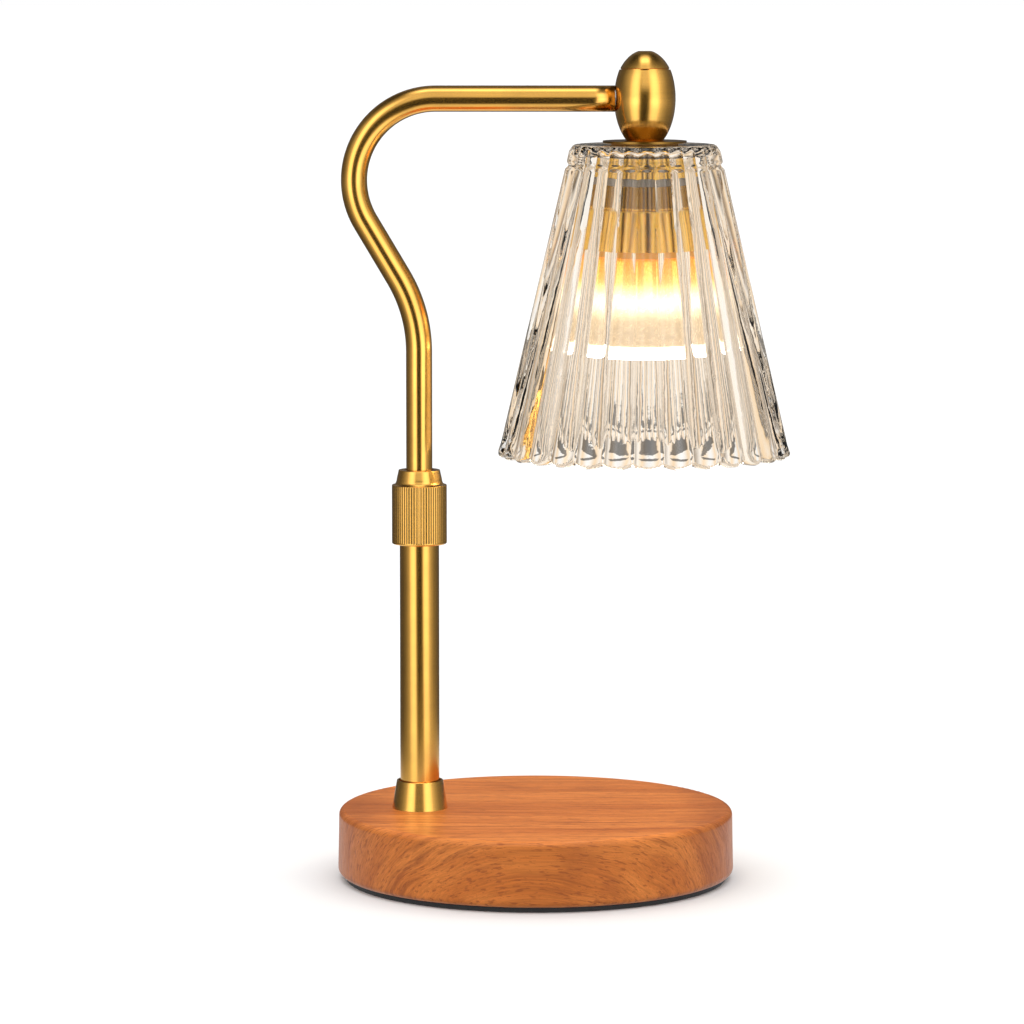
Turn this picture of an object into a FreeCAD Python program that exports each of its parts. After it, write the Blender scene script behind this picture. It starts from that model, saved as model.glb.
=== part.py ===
import FreeCAD, Part
import math
import os

# Candle warmer lamp. A weighted wooden disc carries a telescopic brass stem. The stem's bent arm
# holds a ribbed glass shade with a reflector bulb, which melts a jar candle from above.
# Millimetres, +Z up. The origin is the middle of the underside. The stem stands at -X, the shade
# hangs at +X, and the bent arm lies in the XZ plane. The arm is drawn at its highest setting.

V = FreeCAD.Vector
UP = V(0, 0, 1)

# Wooden base
BASE_RADIUS = 77.5
BASE_TAPER = 0.4
BASE_THICKNESS = 25.4
BASE_TOP_ROUND = 2.4
BASE_FOOT_ROUND = 2.5
PAD_THICKNESS = 2.0
PAD_INSET = 0.5

# Weight, wiring well and lead channel under the wood
BALLAST_EDGE = 17.5
BALLAST_THICKNESS = 6.0
BALLAST_GAP = 0.2
BALLAST_SCREW_INSET = 10.0
BALLAST_SCREWS = 3
SCREW_RADIUS = 1.8
SCREW_HEAD_RADIUS = 3.8
SCREW_LENGTH = 14.0
WELL_RADIUS = 12.0
WELL_ROOF = 4.9
CHANNEL_WIDTH = 6.0
CHANNEL_HEIGHT = 4.4

# Cord inlet in the rear edge
GROMMET_RADIUS = 4.4
GROMMET_BORE = 2.7
GROMMET_DEPTH = 9.0
GROMMET_FLANGE_RADIUS = 5.8
GROMMET_FLANGE = 2.0
GROMMET_SINK = 0.8

# Stem
STEM_OFFSET = 45.4
FLANGE_HEIGHT = 11.1
FLANGE_RIM = 1.43
FLANGE_SLOPE = 1.8
FLANGE_FLOOR = 2.5
FLANGE_MOUTH_GAP = 0.6
FLANGE_MOUTH_DEPTH = 2.4
STEM_WALL = 1.47
STEM_LENGTH = 102.0
PLUG_LENGTH = 10.0
NIPPLE_RADIUS = 5.0
NIPPLE_BORE = 3.2
WASHER_RADIUS = 9.5
WASHER_THICKNESS = 1.2
NUT_FLATS = 14.0
NUT_THICKNESS = 4.5
NIPPLE_TAIL = 1.0

# Clamp on top of the stem
COLLET_RIM = 0.93
COLLET_SHANK = 12.2
COLLET_THREAD = 17.1
COLLET_CONE = 4.0
COLLET_TIP_WALL = 1.9
COLLET_SLOTS = 4
COLLET_SLOT_WIDTH = 1.0
COLLET_SLOT_DEPTH = 13.0
CLAMP_WALL = 2.1
CLAMP_OVERHANG = 0.3
KNURL_HEIGHT = 23.2
KNURL_DEPTH = 0.35
KNURL_TEETH = 64
KNURL_CHAMFER = 0.5
NOSE_HEIGHT = 5.8
NOSE_TOP_STEP = 2.6
NOSE_WAIST_STEP = 1.9
NOSE_SHOULDER_STEP = 0.6
NOSE_BORE_GAP = 0.4
NOSE_WAIST_RISE = 2.3
NOSE_FLARE_STEP = 1.58
NOSE_FLARE_RISE = 0.87

# Bent arm
ARM_RADIUS = 5.1
ARM_WALL = 0.9
ARM_INSERTION = 28.0
HEIGHT_TRAVEL = 40.0
TRAVEL_SPARE = 6.1
LEAN_ANGLE = 30.7
LEAN_RADIUS = 57.0
LEAN_RUN = 24.7
CROOK_RADIUS = 31.5
GUIDE_LENGTH = 10.0
GUIDE_WALL = 1.1
GUIDE_RING_LIP = 0.8
GUIDE_RING_WIDTH = 1.2
GUIDE_END_PLAY = 0.2
SLIDE_FIT = 0.05
STOP_GAP = 0.3

# Egg shaped finial over the shade
HEAD_OFFSET = 42.0
EGG_RADIUS = 11.9
EGG_HALF_HEIGHT = 20.1
EGG_TOP_CUT = 1.8
EGG_FOOT_CUT = 3.9
EGG_TOP_ROUND = 2.2
EGG_CAP_HEIGHT = 11.4
EGG_SEAM = 0.25
EGG_CAVITY_RADIUS = 7.0
EGG_FLOOR = 7.0
EGG_ROOF = 5.0
CAP_THREAD_RADIUS = 5.5
SEAT_DEPTH = 0.3
SPIGOT_BORE = 2.6
SPIGOT_IN_TUBE = 10.0
SPIGOT_IN_EGG = 4.9
GRUB_RADIUS = 1.5
GRUB_RISE = 3.4
GRUB_LENGTH = 3.6

# Neck stack that clamps the glass
HANGER_BORE = 3.4
HANGER_IN_EGG = 6.4
PLATE_RADIUS = 16.25
PLATE_THICKNESS = 0.8
GASKET_RADIUS = 13.0
GASKET_THICKNESS = 0.6
NECK_CAP_RADIUS = 17.2
NECK_CAP_HEIGHT = 8.4
NECK_CAP_WALL = 1.2
RING_NUT_RADIUS = 16.0
RING_NUT_RIM = 3.0
RING_NUT_HUB = 8.0
RING_NUT_TEETH = 48
RING_NUT_KNURL = 0.3

# Glass shade
RIBS = 30
SHADE_HEIGHT = 121.0
SHADE_RIM_RADIUS = 57.2
SHADE_RIM_RIB = 1.9
SHADE_SHOULDER_RADIUS = 30.6
SHADE_SHOULDER_DROP = 8.1
SHADE_TOP_RADIUS = 29.6
SHADE_NECK_RIB = 1.0
SHADE_TOP_ROUND = 3.5
SHADE_ROOF = 4.0
SHADE_RIM_WALL = 3.0
SHADE_NECK_WALL = 3.0
SHADE_HOLE_GAP = 0.4
SCALLOP_DEPTH = 1.4
SCALLOP_FLAT = 0.95
HOOD_CLEARANCE = 0.5

# Lamp holder in its brass cup
CUP_SHOULDER = 5.0
CUP_NECK_HEIGHT = 9.0
CUP_RADIUS = 21.0
CUP_HEIGHT = 16.0
CUP_WALL = 1.2
CUP_ROOF = 2.0
HANGER_NUT_THICKNESS = 4.0
HANGER_TAIL = 1.0
HOLDER_SIDE_GAP = 1.3
HOLDER_FLANGE = 4.0
HOLDER_BOSS = 3.5
HOLDER_CROWN = 1.7
HOLDER_LEDGE = 4.0
HOLDER_SCREW_INSET = 2.2
HOLDER_SCREW_RADIUS = 1.25
HOLDER_SCREW_HEAD = 2.1
HOLDER_SCREW_HEAD_HEIGHT = 1.5
CONTACT_RADIUS = 2.2
CONTACT_THICKNESS = 0.5
CONTACT_ROD = 1.0
CONTACT_RISE = 3.0
WIRE_RADIUS = 0.55

# Reflector bulb with a two pin twist base
PIN_CIRCLE = 5.0
PIN_RADIUS = 1.5
PIN_HEAD_RADIUS = 2.5
PIN_NECK = 4.6
PIN_HEAD = 2.6
PIN_GAP = 0.3
TWIST_ANGLE = 30.0
BULB_HEIGHT = 48.0
BULB_RADIUS = 25.0
BULB_RIM = 5.0
BULB_LENS = 2.0
BULB_GLASS = 1.2
BULB_BASE_HEIGHT = 10.0
BULB_BASE_STEP = 0.8
BULB_BASE_TOP_STEP = 2.6
BULB_BODY_RADIUS = 13.4
BULB_BASE_TAPER = 4.0
BULB_BELLY_INSET = 4.5
BULB_BELLY_DROP = 17.2
CAPSULE_RADIUS = 4.6
CAPSULE_LENGTH = 17.0
FILAMENT_RADIUS = 0.9

# Two core lead inside the stem and arm
LEAD_RADIUS = 1.7
LEAD_BEND = 6.5
LEAD_FLOOR_GAP = 0.1
LEAD_SWEEP = 20.0
SLACK_SWING = 3.2
SLACK_WAVES = 4
SLACK_END_RUN = 6.0

# Radii that follow from the sizes above
ballast_radius = BASE_RADIUS - BALLAST_EDGE
arm_bore = ARM_RADIUS - ARM_WALL
spigot_radius = arm_bore - SLIDE_FIT
guide_ring_radius = ARM_RADIUS + GUIDE_RING_LIP
stem_bore = ARM_RADIUS + GUIDE_WALL
stem_radius = stem_bore + STEM_WALL
flange_top_radius = stem_radius + FLANGE_RIM
flange_foot_radius = flange_top_radius + FLANGE_SLOPE
collet_radius = stem_radius + COLLET_RIM
collet_tip_radius = ARM_RADIUS + COLLET_TIP_WALL
clamp_radius = collet_radius + CLAMP_WALL
cup_inner = CUP_RADIUS - CUP_WALL
cup_neck_radius = CUP_RADIUS - CUP_SHOULDER
cup_neck_inner = cup_neck_radius - CUP_WALL
holder_radius = cup_neck_inner - HOLDER_SIDE_GAP
holder_flange_radius = cup_inner - HOLDER_SIDE_GAP
holder_screw_offset = holder_flange_radius - HOLDER_SCREW_INSET

# Heights that follow from the sizes above
wood_low = PAD_THICKNESS
wood_top = wood_low + BASE_THICKNESS
recess_top = wood_low + BALLAST_THICKNESS + BALLAST_GAP
well_top = wood_top - WELL_ROOF
nut_low = well_top - WASHER_THICKNESS - NUT_THICKNESS
nipple_low = nut_low - NIPPLE_TAIL
lead_height = recess_top + LEAD_FLOOR_GAP + LEAD_RADIUS
lead_rise = nipple_low - lead_height
stem_x = -STEM_OFFSET
stem_low = wood_top + FLANGE_FLOOR
stem_top = stem_low + STEM_LENGTH
plug_top = stem_low + PLUG_LENGTH
collet_low = stem_top - COLLET_SHANK
thread_top = stem_top + COLLET_THREAD
collet_top = thread_top + COLLET_CONE
clamp_low = stem_top - CLAMP_OVERHANG
knurl_top = clamp_low + KNURL_HEIGHT
clamp_top = knurl_top + NOSE_HEIGHT
arm_low = stem_top - ARM_INSERTION
lean_start = clamp_top + HEIGHT_TRAVEL + TRAVEL_SPARE
upper_ring_top = collet_low - STOP_GAP
guide_top = upper_ring_top - GUIDE_RING_WIDTH - GUIDE_END_PLAY
guide_low = guide_top - GUIDE_LENGTH
lower_ring_low = guide_low - GUIDE_END_PLAY - GUIDE_RING_WIDTH

lean = math.radians(LEAN_ANGLE)
lean_end = V(stem_x - LEAN_RADIUS * (1 - math.cos(lean)), 0, lean_start + LEAN_RADIUS * math.sin(lean))
crook_start = lean_end + V(-math.sin(lean), 0, math.cos(lean)) * LEAN_RUN
crook_centre = crook_start + V(math.cos(lean), 0, math.sin(lean)) * CROOK_RADIUS
arm_height = crook_centre.z + CROOK_RADIUS

head_x = HEAD_OFFSET
egg_low = arm_height - EGG_HALF_HEIGHT + EGG_FOOT_CUT
egg_top = arm_height + EGG_HALF_HEIGHT - EGG_TOP_CUT
egg_seam = arm_height + EGG_CAP_HEIGHT
arm_end = head_x - EGG_RADIUS + SEAT_DEPTH
plate_low = egg_low - PLATE_THICKNESS
shade_top = plate_low - GASKET_THICKNESS
shade_roof_low = shade_top - SHADE_ROOF
shade_low = shade_top - SHADE_HEIGHT
neck_cap_top = shade_roof_low - GASKET_THICKNESS
neck_cap_low = neck_cap_top - NECK_CAP_HEIGHT
ring_nut_low = neck_cap_low - RING_NUT_RIM
cup_top = ring_nut_low
cup_step = cup_top - CUP_NECK_HEIGHT
cup_low = cup_step - CUP_HEIGHT
hanger_nut_low = cup_top - CUP_ROOF - HANGER_NUT_THICKNESS
hanger_low = hanger_nut_low - HANGER_TAIL
holder_seat = cup_step - CUP_WALL
holder_top = holder_seat + HOLDER_CROWN
flange_low = holder_seat - HOLDER_FLANGE
holder_low = flange_low - HOLDER_BOSS
bulb_top = holder_low - PIN_GAP
bulb_low = bulb_top - BULB_HEIGHT
pin_head_low = bulb_top + PIN_NECK
pin_top = pin_head_low + PIN_HEAD


def moved(shape, x=0.0, y=0.0, z=0.0):
    """A copy of the shape, shifted."""
    copy = shape.copy()
    copy.translate(V(x, y, z))
    return copy


def rod(radius, low, high, x=0.0, y=0.0):
    """An upright cylinder between two heights."""
    return Part.makeCylinder(radius, high - low, V(x, y, low), UP)


def pipe(outer, inner, low, high, x=0.0, y=0.0):
    """An upright tube between two heights."""
    return rod(outer, low, high, x, y).cut(rod(inner, low, high, x, y))


def bar(radius, start, end):
    """A cylinder from one point to another."""
    return Part.makeCylinder(radius, (end - start).Length, start, end - start)


def turned(x, start, *steps):
    """A solid turned round the upright axis at x. A step of the closed (radius, height) outline
    is its next point, or a pair of points that an arc runs through and ends at."""
    edges = []
    here = start
    for step in list(steps) + [start]:
        if isinstance(step[0], tuple):
            through, end = step
            arc = Part.Arc(V(here[0], 0, here[1]), V(through[0], 0, through[1]), V(end[0], 0, end[1]))
            edges.append(arc.toShape())
        else:
            end = step
            edges.append(Part.makeLine(V(here[0], 0, here[1]), V(end[0], 0, end[1])))
        here = end
    return moved(Part.Face(Part.Wire(edges)).revolve(V(0, 0, 0), UP, 360), x)


def toothed(outer, inner, teeth, low, high):
    """A prism whose outline runs in and out between two radii, as a straight knurl does."""
    corners = []
    for number in range(2 * teeth):
        radius = inner if number % 2 else outer
        angle = math.pi * number / teeth
        corners.append(V(radius * math.cos(angle), radius * math.sin(angle), low))
    corners.append(corners[0])
    return Part.Face(Part.makePolygon(corners)).extrude(V(0, 0, high - low))


def hexagon(flats, bore, low, high, x):
    """A hexagon nut on the upright axis at x."""
    corner = flats / 2 / math.cos(math.pi / 6)
    points = [V(x + corner * math.cos(math.pi * n / 3), corner * math.sin(math.pi * n / 3), low)
              for n in range(7)]
    body = Part.Face(Part.makePolygon(points)).extrude(V(0, 0, high - low))
    return body.cut(rod(bore, low, high, x))


def round_middle(radius, height, size, upward):
    """The middle of the arc that rounds the outer corner of a turned outline, at its top where
    upward is 1 and at its foot where it is -1."""
    slack = size * (1 - math.sqrt(0.5))
    return (radius - slack, height - upward * slack)


def rounded_route(points, radii):
    """Straight runs through the points, with an arc of the given radius at each inner one."""
    edges = []
    here = points[0]
    for before, corner, after, radius in zip(points, points[1:], points[2:], radii):
        back = (before - corner).normalize()
        onward = (after - corner).normalize()
        half_turn = (math.pi - back.getAngle(onward)) / 2
        reach = radius * math.tan(half_turn)
        inward = (back + onward).normalize()
        start = corner + back * reach
        middle = corner + inward * (radius / math.cos(half_turn) - radius)
        end = corner + onward * reach
        edges.append(Part.makeLine(here, start))
        edges.append(Part.Arc(start, middle, end).toShape())
        here = end
    edges.append(Part.makeLine(here, points[-1]))
    return edges


def swept(edges, radius):
    """A round bar along a route whose first edge is straight."""
    start = edges[0].Vertexes[0].Point
    heading = edges[0].Vertexes[1].Point - start
    ring = Part.Wire(Part.makeCircle(radius, start, heading))
    return Part.Wire(edges).makePipeShell([ring], True, False)


def arm_route(low, end_x):
    """The bent arm's centre line: upright, leaning out, over the crook and level."""
    def arc(centre, radius, first, last):
        angles = [first, (first + last) / 2, last]
        points = [centre + V(math.cos(a), 0, math.sin(a)) * radius for a in angles]
        return Part.Arc(*points).toShape()

    lean_centre = V(stem_x - LEAN_RADIUS, 0, lean_start)
    return [Part.makeLine(V(stem_x, 0, low), V(stem_x, 0, lean_start)),
            arc(lean_centre, LEAN_RADIUS, 0, lean),
            Part.makeLine(lean_end, crook_start),
            arc(crook_centre, CROOK_RADIUS, math.pi + lean, math.pi / 2),
            Part.makeLine(V(crook_centre.x, 0, arm_height), V(end_x, 0, arm_height))]


def around(shape, count, first=0.0, x=0.0):
    """Copies of a shape spaced evenly round the upright axis at x."""
    copies = []
    for number in range(count):
        copy = shape.copy()
        copy.rotate(V(x, 0, 0), UP, first + 360.0 * number / count)
        copies.append(copy)
    return copies


def lead_channel():
    """The space for the lead in the wood: along X from the stem well, then along Y to the rear."""
    half = CHANNEL_WIDTH / 2
    low = recess_top - BALLAST_GAP
    rear = BASE_RADIUS - GROMMET_SINK - GROMMET_DEPTH
    height = CHANNEL_HEIGHT + BALLAST_GAP
    along = Part.makeBox(STEM_OFFSET + half, CHANNEL_WIDTH, height, V(stem_x, -half, low))
    back = Part.makeBox(CHANNEL_WIDTH, rear + half, height, V(-half, -half, low))
    inner_corner = rod(LEAD_SWEEP, low, low + height, -half - LEAD_SWEEP, half + LEAD_SWEEP)
    corner = Part.makeBox(LEAD_SWEEP, LEAD_SWEEP, height, V(-half - LEAD_SWEEP, half, low))
    return along.fuse(back).fuse(corner.cut(inner_corner))


def screw_places():
    """The ballast screws' places, the first one straight ahead of the stem."""
    circle = ballast_radius - BALLAST_SCREW_INSET
    angles = [2 * math.pi * number / BALLAST_SCREWS for number in range(BALLAST_SCREWS)]
    return [V(circle * math.cos(angle), circle * math.sin(angle), 0) for angle in angles]


def base_wood():
    """The wooden disc: rounded edges, a recess for the weight, and the well under the stem."""
    top_radius = BASE_RADIUS - BASE_TAPER
    foot = round_middle(BASE_RADIUS, wood_low, BASE_FOOT_ROUND, -1)
    rim = round_middle(top_radius, wood_top, BASE_TOP_ROUND, 1)
    disc = turned(0, (0, wood_low), (BASE_RADIUS - BASE_FOOT_ROUND, wood_low),
                  (foot, (BASE_RADIUS, wood_low + BASE_FOOT_ROUND)),
                  (top_radius, wood_top - BASE_TOP_ROUND),
                  (rim, (top_radius - BASE_TOP_ROUND, wood_top)), (0, wood_top))
    disc = disc.cut(rod(ballast_radius + BALLAST_GAP, wood_low, recess_top))
    disc = disc.cut(rod(WELL_RADIUS, wood_low, well_top, stem_x))
    disc = disc.cut(rod(NIPPLE_RADIUS, well_top, wood_top, stem_x))
    disc = disc.cut(lead_channel())
    rear = V(0, BASE_RADIUS - GROMMET_SINK, lead_height)
    disc = disc.cut(bar(GROMMET_RADIUS, rear - V(0, GROMMET_DEPTH, 0), rear))
    disc = disc.cut(bar(GROMMET_FLANGE_RADIUS, rear, rear + V(0, GROMMET_FLANGE, 0)))
    for place in screw_places():
        disc = disc.cut(rod(SCREW_RADIUS, recess_top, wood_low + SCREW_LENGTH, place.x, place.y))
    return disc


def ballast_plate():
    """The steel weight, open round the stem's nut and drilled for its screws."""
    plate = rod(ballast_radius, wood_low, wood_low + BALLAST_THICKNESS)
    plate = plate.cut(rod(WELL_RADIUS, wood_low, recess_top, stem_x))
    slot = Part.makeBox(ballast_radius, 2 * WELL_RADIUS, BALLAST_THICKNESS,
                        V(stem_x - ballast_radius, -WELL_RADIUS, wood_low))
    plate = plate.cut(slot)
    for place in screw_places():
        plate = plate.cut(screw(place, recess_top))
    return plate


def screw(place, top):
    """A countersunk wood screw that points up."""
    head = Part.makeCone(SCREW_HEAD_RADIUS, SCREW_RADIUS, SCREW_HEAD_RADIUS - SCREW_RADIUS,
                         V(place.x, place.y, wood_low), UP)
    return head.fuse(rod(SCREW_RADIUS, wood_low, top, place.x, place.y)).removeSplitter()


def ballast_screws():
    """The countersunk screws that hold the weight in the wood."""
    return Part.makeCompound([screw(place, wood_low + SCREW_LENGTH) for place in screw_places()])


def foot_pad():
    """The black non-slip pad under the whole base."""
    return rod(BASE_RADIUS - BASE_FOOT_ROUND - PAD_INSET, 0, PAD_THICKNESS)


def cord_grommet():
    """The grommet that the supply cord leaves through, in the rear edge of the wood."""
    seat = V(0, BASE_RADIUS - GROMMET_SINK, lead_height)
    inner = seat - V(0, GROMMET_DEPTH, 0)
    outer = seat + V(0, GROMMET_FLANGE, 0)
    body = bar(GROMMET_RADIUS, inner, seat).fuse(bar(GROMMET_FLANGE_RADIUS, seat, outer))
    return body.cut(bar(GROMMET_BORE, inner, outer)).removeSplitter()


def stem_flange():
    """The brass foot of the stem: a cup with sloping sides and an open mouth round the tube."""
    mouth = stem_radius + FLANGE_MOUTH_GAP
    flange_top = wood_top + FLANGE_HEIGHT
    mouth_low = flange_top - FLANGE_MOUTH_DEPTH
    lip = (mouth + flange_top_radius) / 2
    return turned(stem_x, (NIPPLE_RADIUS, wood_top), (flange_foot_radius, wood_top),
                  (flange_top_radius, flange_top - (flange_top_radius - lip)),
                  ((lip, flange_top), (mouth, flange_top - (flange_top_radius - lip))),
                  (mouth, mouth_low), (stem_radius, mouth_low), (stem_radius, stem_low),
                  (NIPPLE_RADIUS, stem_low))


def lower_tube():
    """The fixed outer tube of the telescopic stem."""
    return pipe(stem_radius, stem_bore, stem_low, stem_top, stem_x)


def tube_plug():
    """The threaded plug in the foot of the lower tube."""
    return pipe(stem_bore, NIPPLE_RADIUS, stem_low, plug_top, stem_x)


def stem_nipple():
    """The hollow threaded rod that ties the stem to the wood."""
    return pipe(NIPPLE_RADIUS, NIPPLE_BORE, nipple_low, plug_top, stem_x)


def stem_washer():
    """The large washer under the wood."""
    return pipe(WASHER_RADIUS, NIPPLE_RADIUS, well_top - WASHER_THICKNESS, well_top, stem_x)


def stem_nut():
    """The nut that draws the stem down."""
    return hexagon(NUT_FLATS, NIPPLE_RADIUS, nut_low, nut_low + NUT_THICKNESS, stem_x)


def clamp_collet():
    """The slotted collet on top of the lower tube, which the clamp nut squeezes on the arm."""
    bore = ARM_RADIUS + SLIDE_FIT
    body = turned(0, (bore, collet_low), (stem_bore, collet_low), (stem_bore, stem_top),
                  (collet_radius, stem_top), (collet_radius, thread_top),
                  (collet_tip_radius, collet_top), (bore, collet_top))
    slot = Part.makeBox(2 * collet_radius, COLLET_SLOT_WIDTH, COLLET_SLOT_DEPTH,
                        V(0, -COLLET_SLOT_WIDTH / 2, collet_top - COLLET_SLOT_DEPTH))
    for cutter in around(slot, COLLET_SLOTS, 180.0 / COLLET_SLOTS):
        body = body.cut(cutter)
    return moved(body, stem_x)


def clamp_nut():
    """The knurled nut with its flared nose, turned to free the arm."""
    thread = collet_radius + SLIDE_FIT
    nose_bore = ARM_RADIUS + NOSE_BORE_GAP
    cone_low = thread_top + STOP_GAP
    cone_top = collet_top + STOP_GAP
    cone_radius = collet_tip_radius + STOP_GAP
    grip = toothed(clamp_radius, clamp_radius - KNURL_DEPTH, KNURL_TEETH, clamp_low, knurl_top)
    edge = clamp_radius - KNURL_CHAMFER
    outside = turned(0, (0, clamp_low), (edge, clamp_low), (clamp_radius, clamp_low + KNURL_CHAMFER),
                     (clamp_radius, knurl_top - KNURL_CHAMFER), (edge, knurl_top), (0, knurl_top))
    nose_top = clamp_radius - NOSE_TOP_STEP
    waist = (clamp_radius - NOSE_WAIST_STEP, knurl_top + NOSE_WAIST_RISE)
    flare = (clamp_radius - NOSE_FLARE_STEP, knurl_top + NOSE_FLARE_RISE)
    nose = turned(0, (0, knurl_top), (clamp_radius - NOSE_SHOULDER_STEP, knurl_top), (flare, waist),
                  (nose_top, clamp_top - KNURL_CHAMFER / 2),
                  (nose_top - KNURL_CHAMFER / 2, clamp_top), (0, clamp_top))
    inside = turned(0, (0, clamp_low), (thread, clamp_low), (thread, cone_low),
                    (cone_radius, cone_top), (nose_bore, cone_top), (nose_bore, clamp_top),
                    (0, clamp_top))
    return moved(grip.common(outside).fuse(nose).cut(inside).removeSplitter(), stem_x)


def guide_bush():
    """The nylon bush that slides in the lower tube, and in which the arm turns."""
    return pipe(stem_bore - SLIDE_FIT, ARM_RADIUS + SLIDE_FIT, guide_low, guide_top, stem_x)


def guide_rings():
    """The two rings on the arm's foot that keep the bush in place."""
    upper = pipe(guide_ring_radius, ARM_RADIUS, upper_ring_top - GUIDE_RING_WIDTH, upper_ring_top, stem_x)
    lower = pipe(guide_ring_radius, ARM_RADIUS, lower_ring_low, lower_ring_low + GUIDE_RING_WIDTH, stem_x)
    return Part.makeCompound([upper, lower])


def arm_tube():
    """The bent upper tube, from inside the stem to the finial."""
    route = arm_route(arm_low, arm_end)
    return swept(route, ARM_RADIUS).cut(swept(route, arm_bore))


def arm_spigot():
    """The hollow spigot that joins the arm's end to the finial."""
    start = V(arm_end - SPIGOT_IN_TUBE, 0, arm_height)
    end = V(arm_end + SPIGOT_IN_EGG, 0, arm_height)
    return bar(spigot_radius, start, end).cut(bar(SPIGOT_BORE, start, end))


def egg_slice(low, high):
    """The part of the egg between two heights."""
    centre = V(0, 0, arm_height)
    curve = Part.Ellipse(centre + UP * EGG_HALF_HEIGHT, centre + V(EGG_RADIUS, 0, 0), centre)

    def side(height):
        rise = (height - arm_height) / EGG_HALF_HEIGHT
        return V(EGG_RADIUS * math.sqrt(1 - rise * rise), 0, height)

    start = curve.parameter(side(low))
    end = curve.parameter(side(high))
    edges = [curve.toShape(min(start, end), max(start, end)),
             Part.makeLine(side(high), V(0, 0, high)),
             Part.makeLine(V(0, 0, high), V(0, 0, low)),
             Part.makeLine(V(0, 0, low), side(low))]
    outline = Part.Wire(Part.__sortEdges__(edges))
    return Part.Face(outline).revolve(V(0, 0, 0), UP, 360)


def finial_body():
    """The lower egg, bored for the arm's spigot, the hanger and the lead."""
    body = egg_slice(egg_low, egg_seam - EGG_SEAM)
    body = body.cut(rod(NIPPLE_RADIUS, egg_low, egg_low + EGG_FLOOR))
    body = body.cut(rod(EGG_CAVITY_RADIUS, egg_low + EGG_FLOOR, egg_seam - EGG_ROOF))
    body = body.cut(rod(CAP_THREAD_RADIUS, egg_seam - EGG_ROOF, egg_seam))
    body = moved(body, head_x)
    mouth = V(head_x - 2 * EGG_RADIUS, 0, arm_height)
    seat = V(arm_end, 0, arm_height)
    body = body.cut(bar(ARM_RADIUS + SLIDE_FIT, mouth, seat))
    body = body.cut(bar(spigot_radius, seat, V(head_x, 0, arm_height)))
    return body.cut(grub_hole())


def grub_hole():
    """The radial hole of the finial's grub screw, from the hanger out to the rear."""
    height = egg_low + GRUB_RISE
    return bar(GRUB_RADIUS, V(head_x, 0, height), V(head_x, 2 * EGG_RADIUS, height))


def finial_cap():
    """The cap of the egg, with the thread that screws into the body."""
    cap = egg_slice(egg_seam, egg_top)
    top_edges = [edge for edge in cap.Edges if abs(edge.BoundBox.ZMin - egg_top) < 0.001
                 and edge.Closed]
    cap = cap.makeFillet(EGG_TOP_ROUND, top_edges)
    cap = cap.fuse(rod(CAP_THREAD_RADIUS, egg_seam - EGG_ROOF, egg_seam))
    return moved(cap, head_x)


def grub_screw():
    """The grub screw that locks the hanger in the finial."""
    height = egg_low + GRUB_RISE
    start = V(head_x, NIPPLE_RADIUS, height)
    end = V(head_x, NIPPLE_RADIUS + GRUB_LENGTH, height)
    return bar(GRUB_RADIUS, start, end).cut(rod(NIPPLE_RADIUS, egg_low, egg_low + EGG_FLOOR, head_x))


def hanger_rod():
    """The hollow threaded rod that hangs the whole shade from the finial."""
    return pipe(NIPPLE_RADIUS, HANGER_BORE, hanger_low, egg_low + HANGER_IN_EGG, head_x)


def top_plate():
    """The thin brass disc between the finial and the glass."""
    return pipe(PLATE_RADIUS, NIPPLE_RADIUS, plate_low, egg_low, head_x)


def top_gasket():
    """The soft washer over the glass."""
    return pipe(GASKET_RADIUS, NIPPLE_RADIUS, shade_top, plate_low, head_x)


def inner_gasket():
    """The soft washer under the top of the glass."""
    return pipe(GASKET_RADIUS, NIPPLE_RADIUS, neck_cap_top, shade_roof_low, head_x)


def neck_cap():
    """The brass cap that fills the neck of the shade."""
    cap = pipe(NECK_CAP_RADIUS, NIPPLE_RADIUS, neck_cap_low, neck_cap_top, head_x)
    return cap.cut(rod(NECK_CAP_RADIUS - NECK_CAP_WALL, neck_cap_low, neck_cap_top - NECK_CAP_WALL, head_x))


def shade_ring_nut():
    """The plated ring nut that clamps cap and glass to the hanger."""
    rim = toothed(RING_NUT_RADIUS, RING_NUT_RADIUS - RING_NUT_KNURL, RING_NUT_TEETH,
                  ring_nut_low, neck_cap_low)
    hub = rod(RING_NUT_HUB, ring_nut_low, neck_cap_top - NECK_CAP_WALL)
    ring = rim.fuse(hub).cut(rod(NIPPLE_RADIUS, ring_nut_low, neck_cap_top))
    return moved(ring.removeSplitter(), head_x)


def fluted_ring(crest, depth, height):
    """A closed outline of ribs that bulge outwards round the shade's axis, one facing the front."""
    half = math.pi / RIBS
    edges = []
    for number in range(RIBS):
        middle = 2 * half * number - math.pi / 2
        spots = [(crest - depth, middle - half), (crest, middle), (crest - depth, middle + half)]
        points = [V(r * math.cos(a), r * math.sin(a), height) for r, a in spots]
        edges.append(Part.Arc(*points).toShape())
    return Part.Wire(edges)


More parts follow.
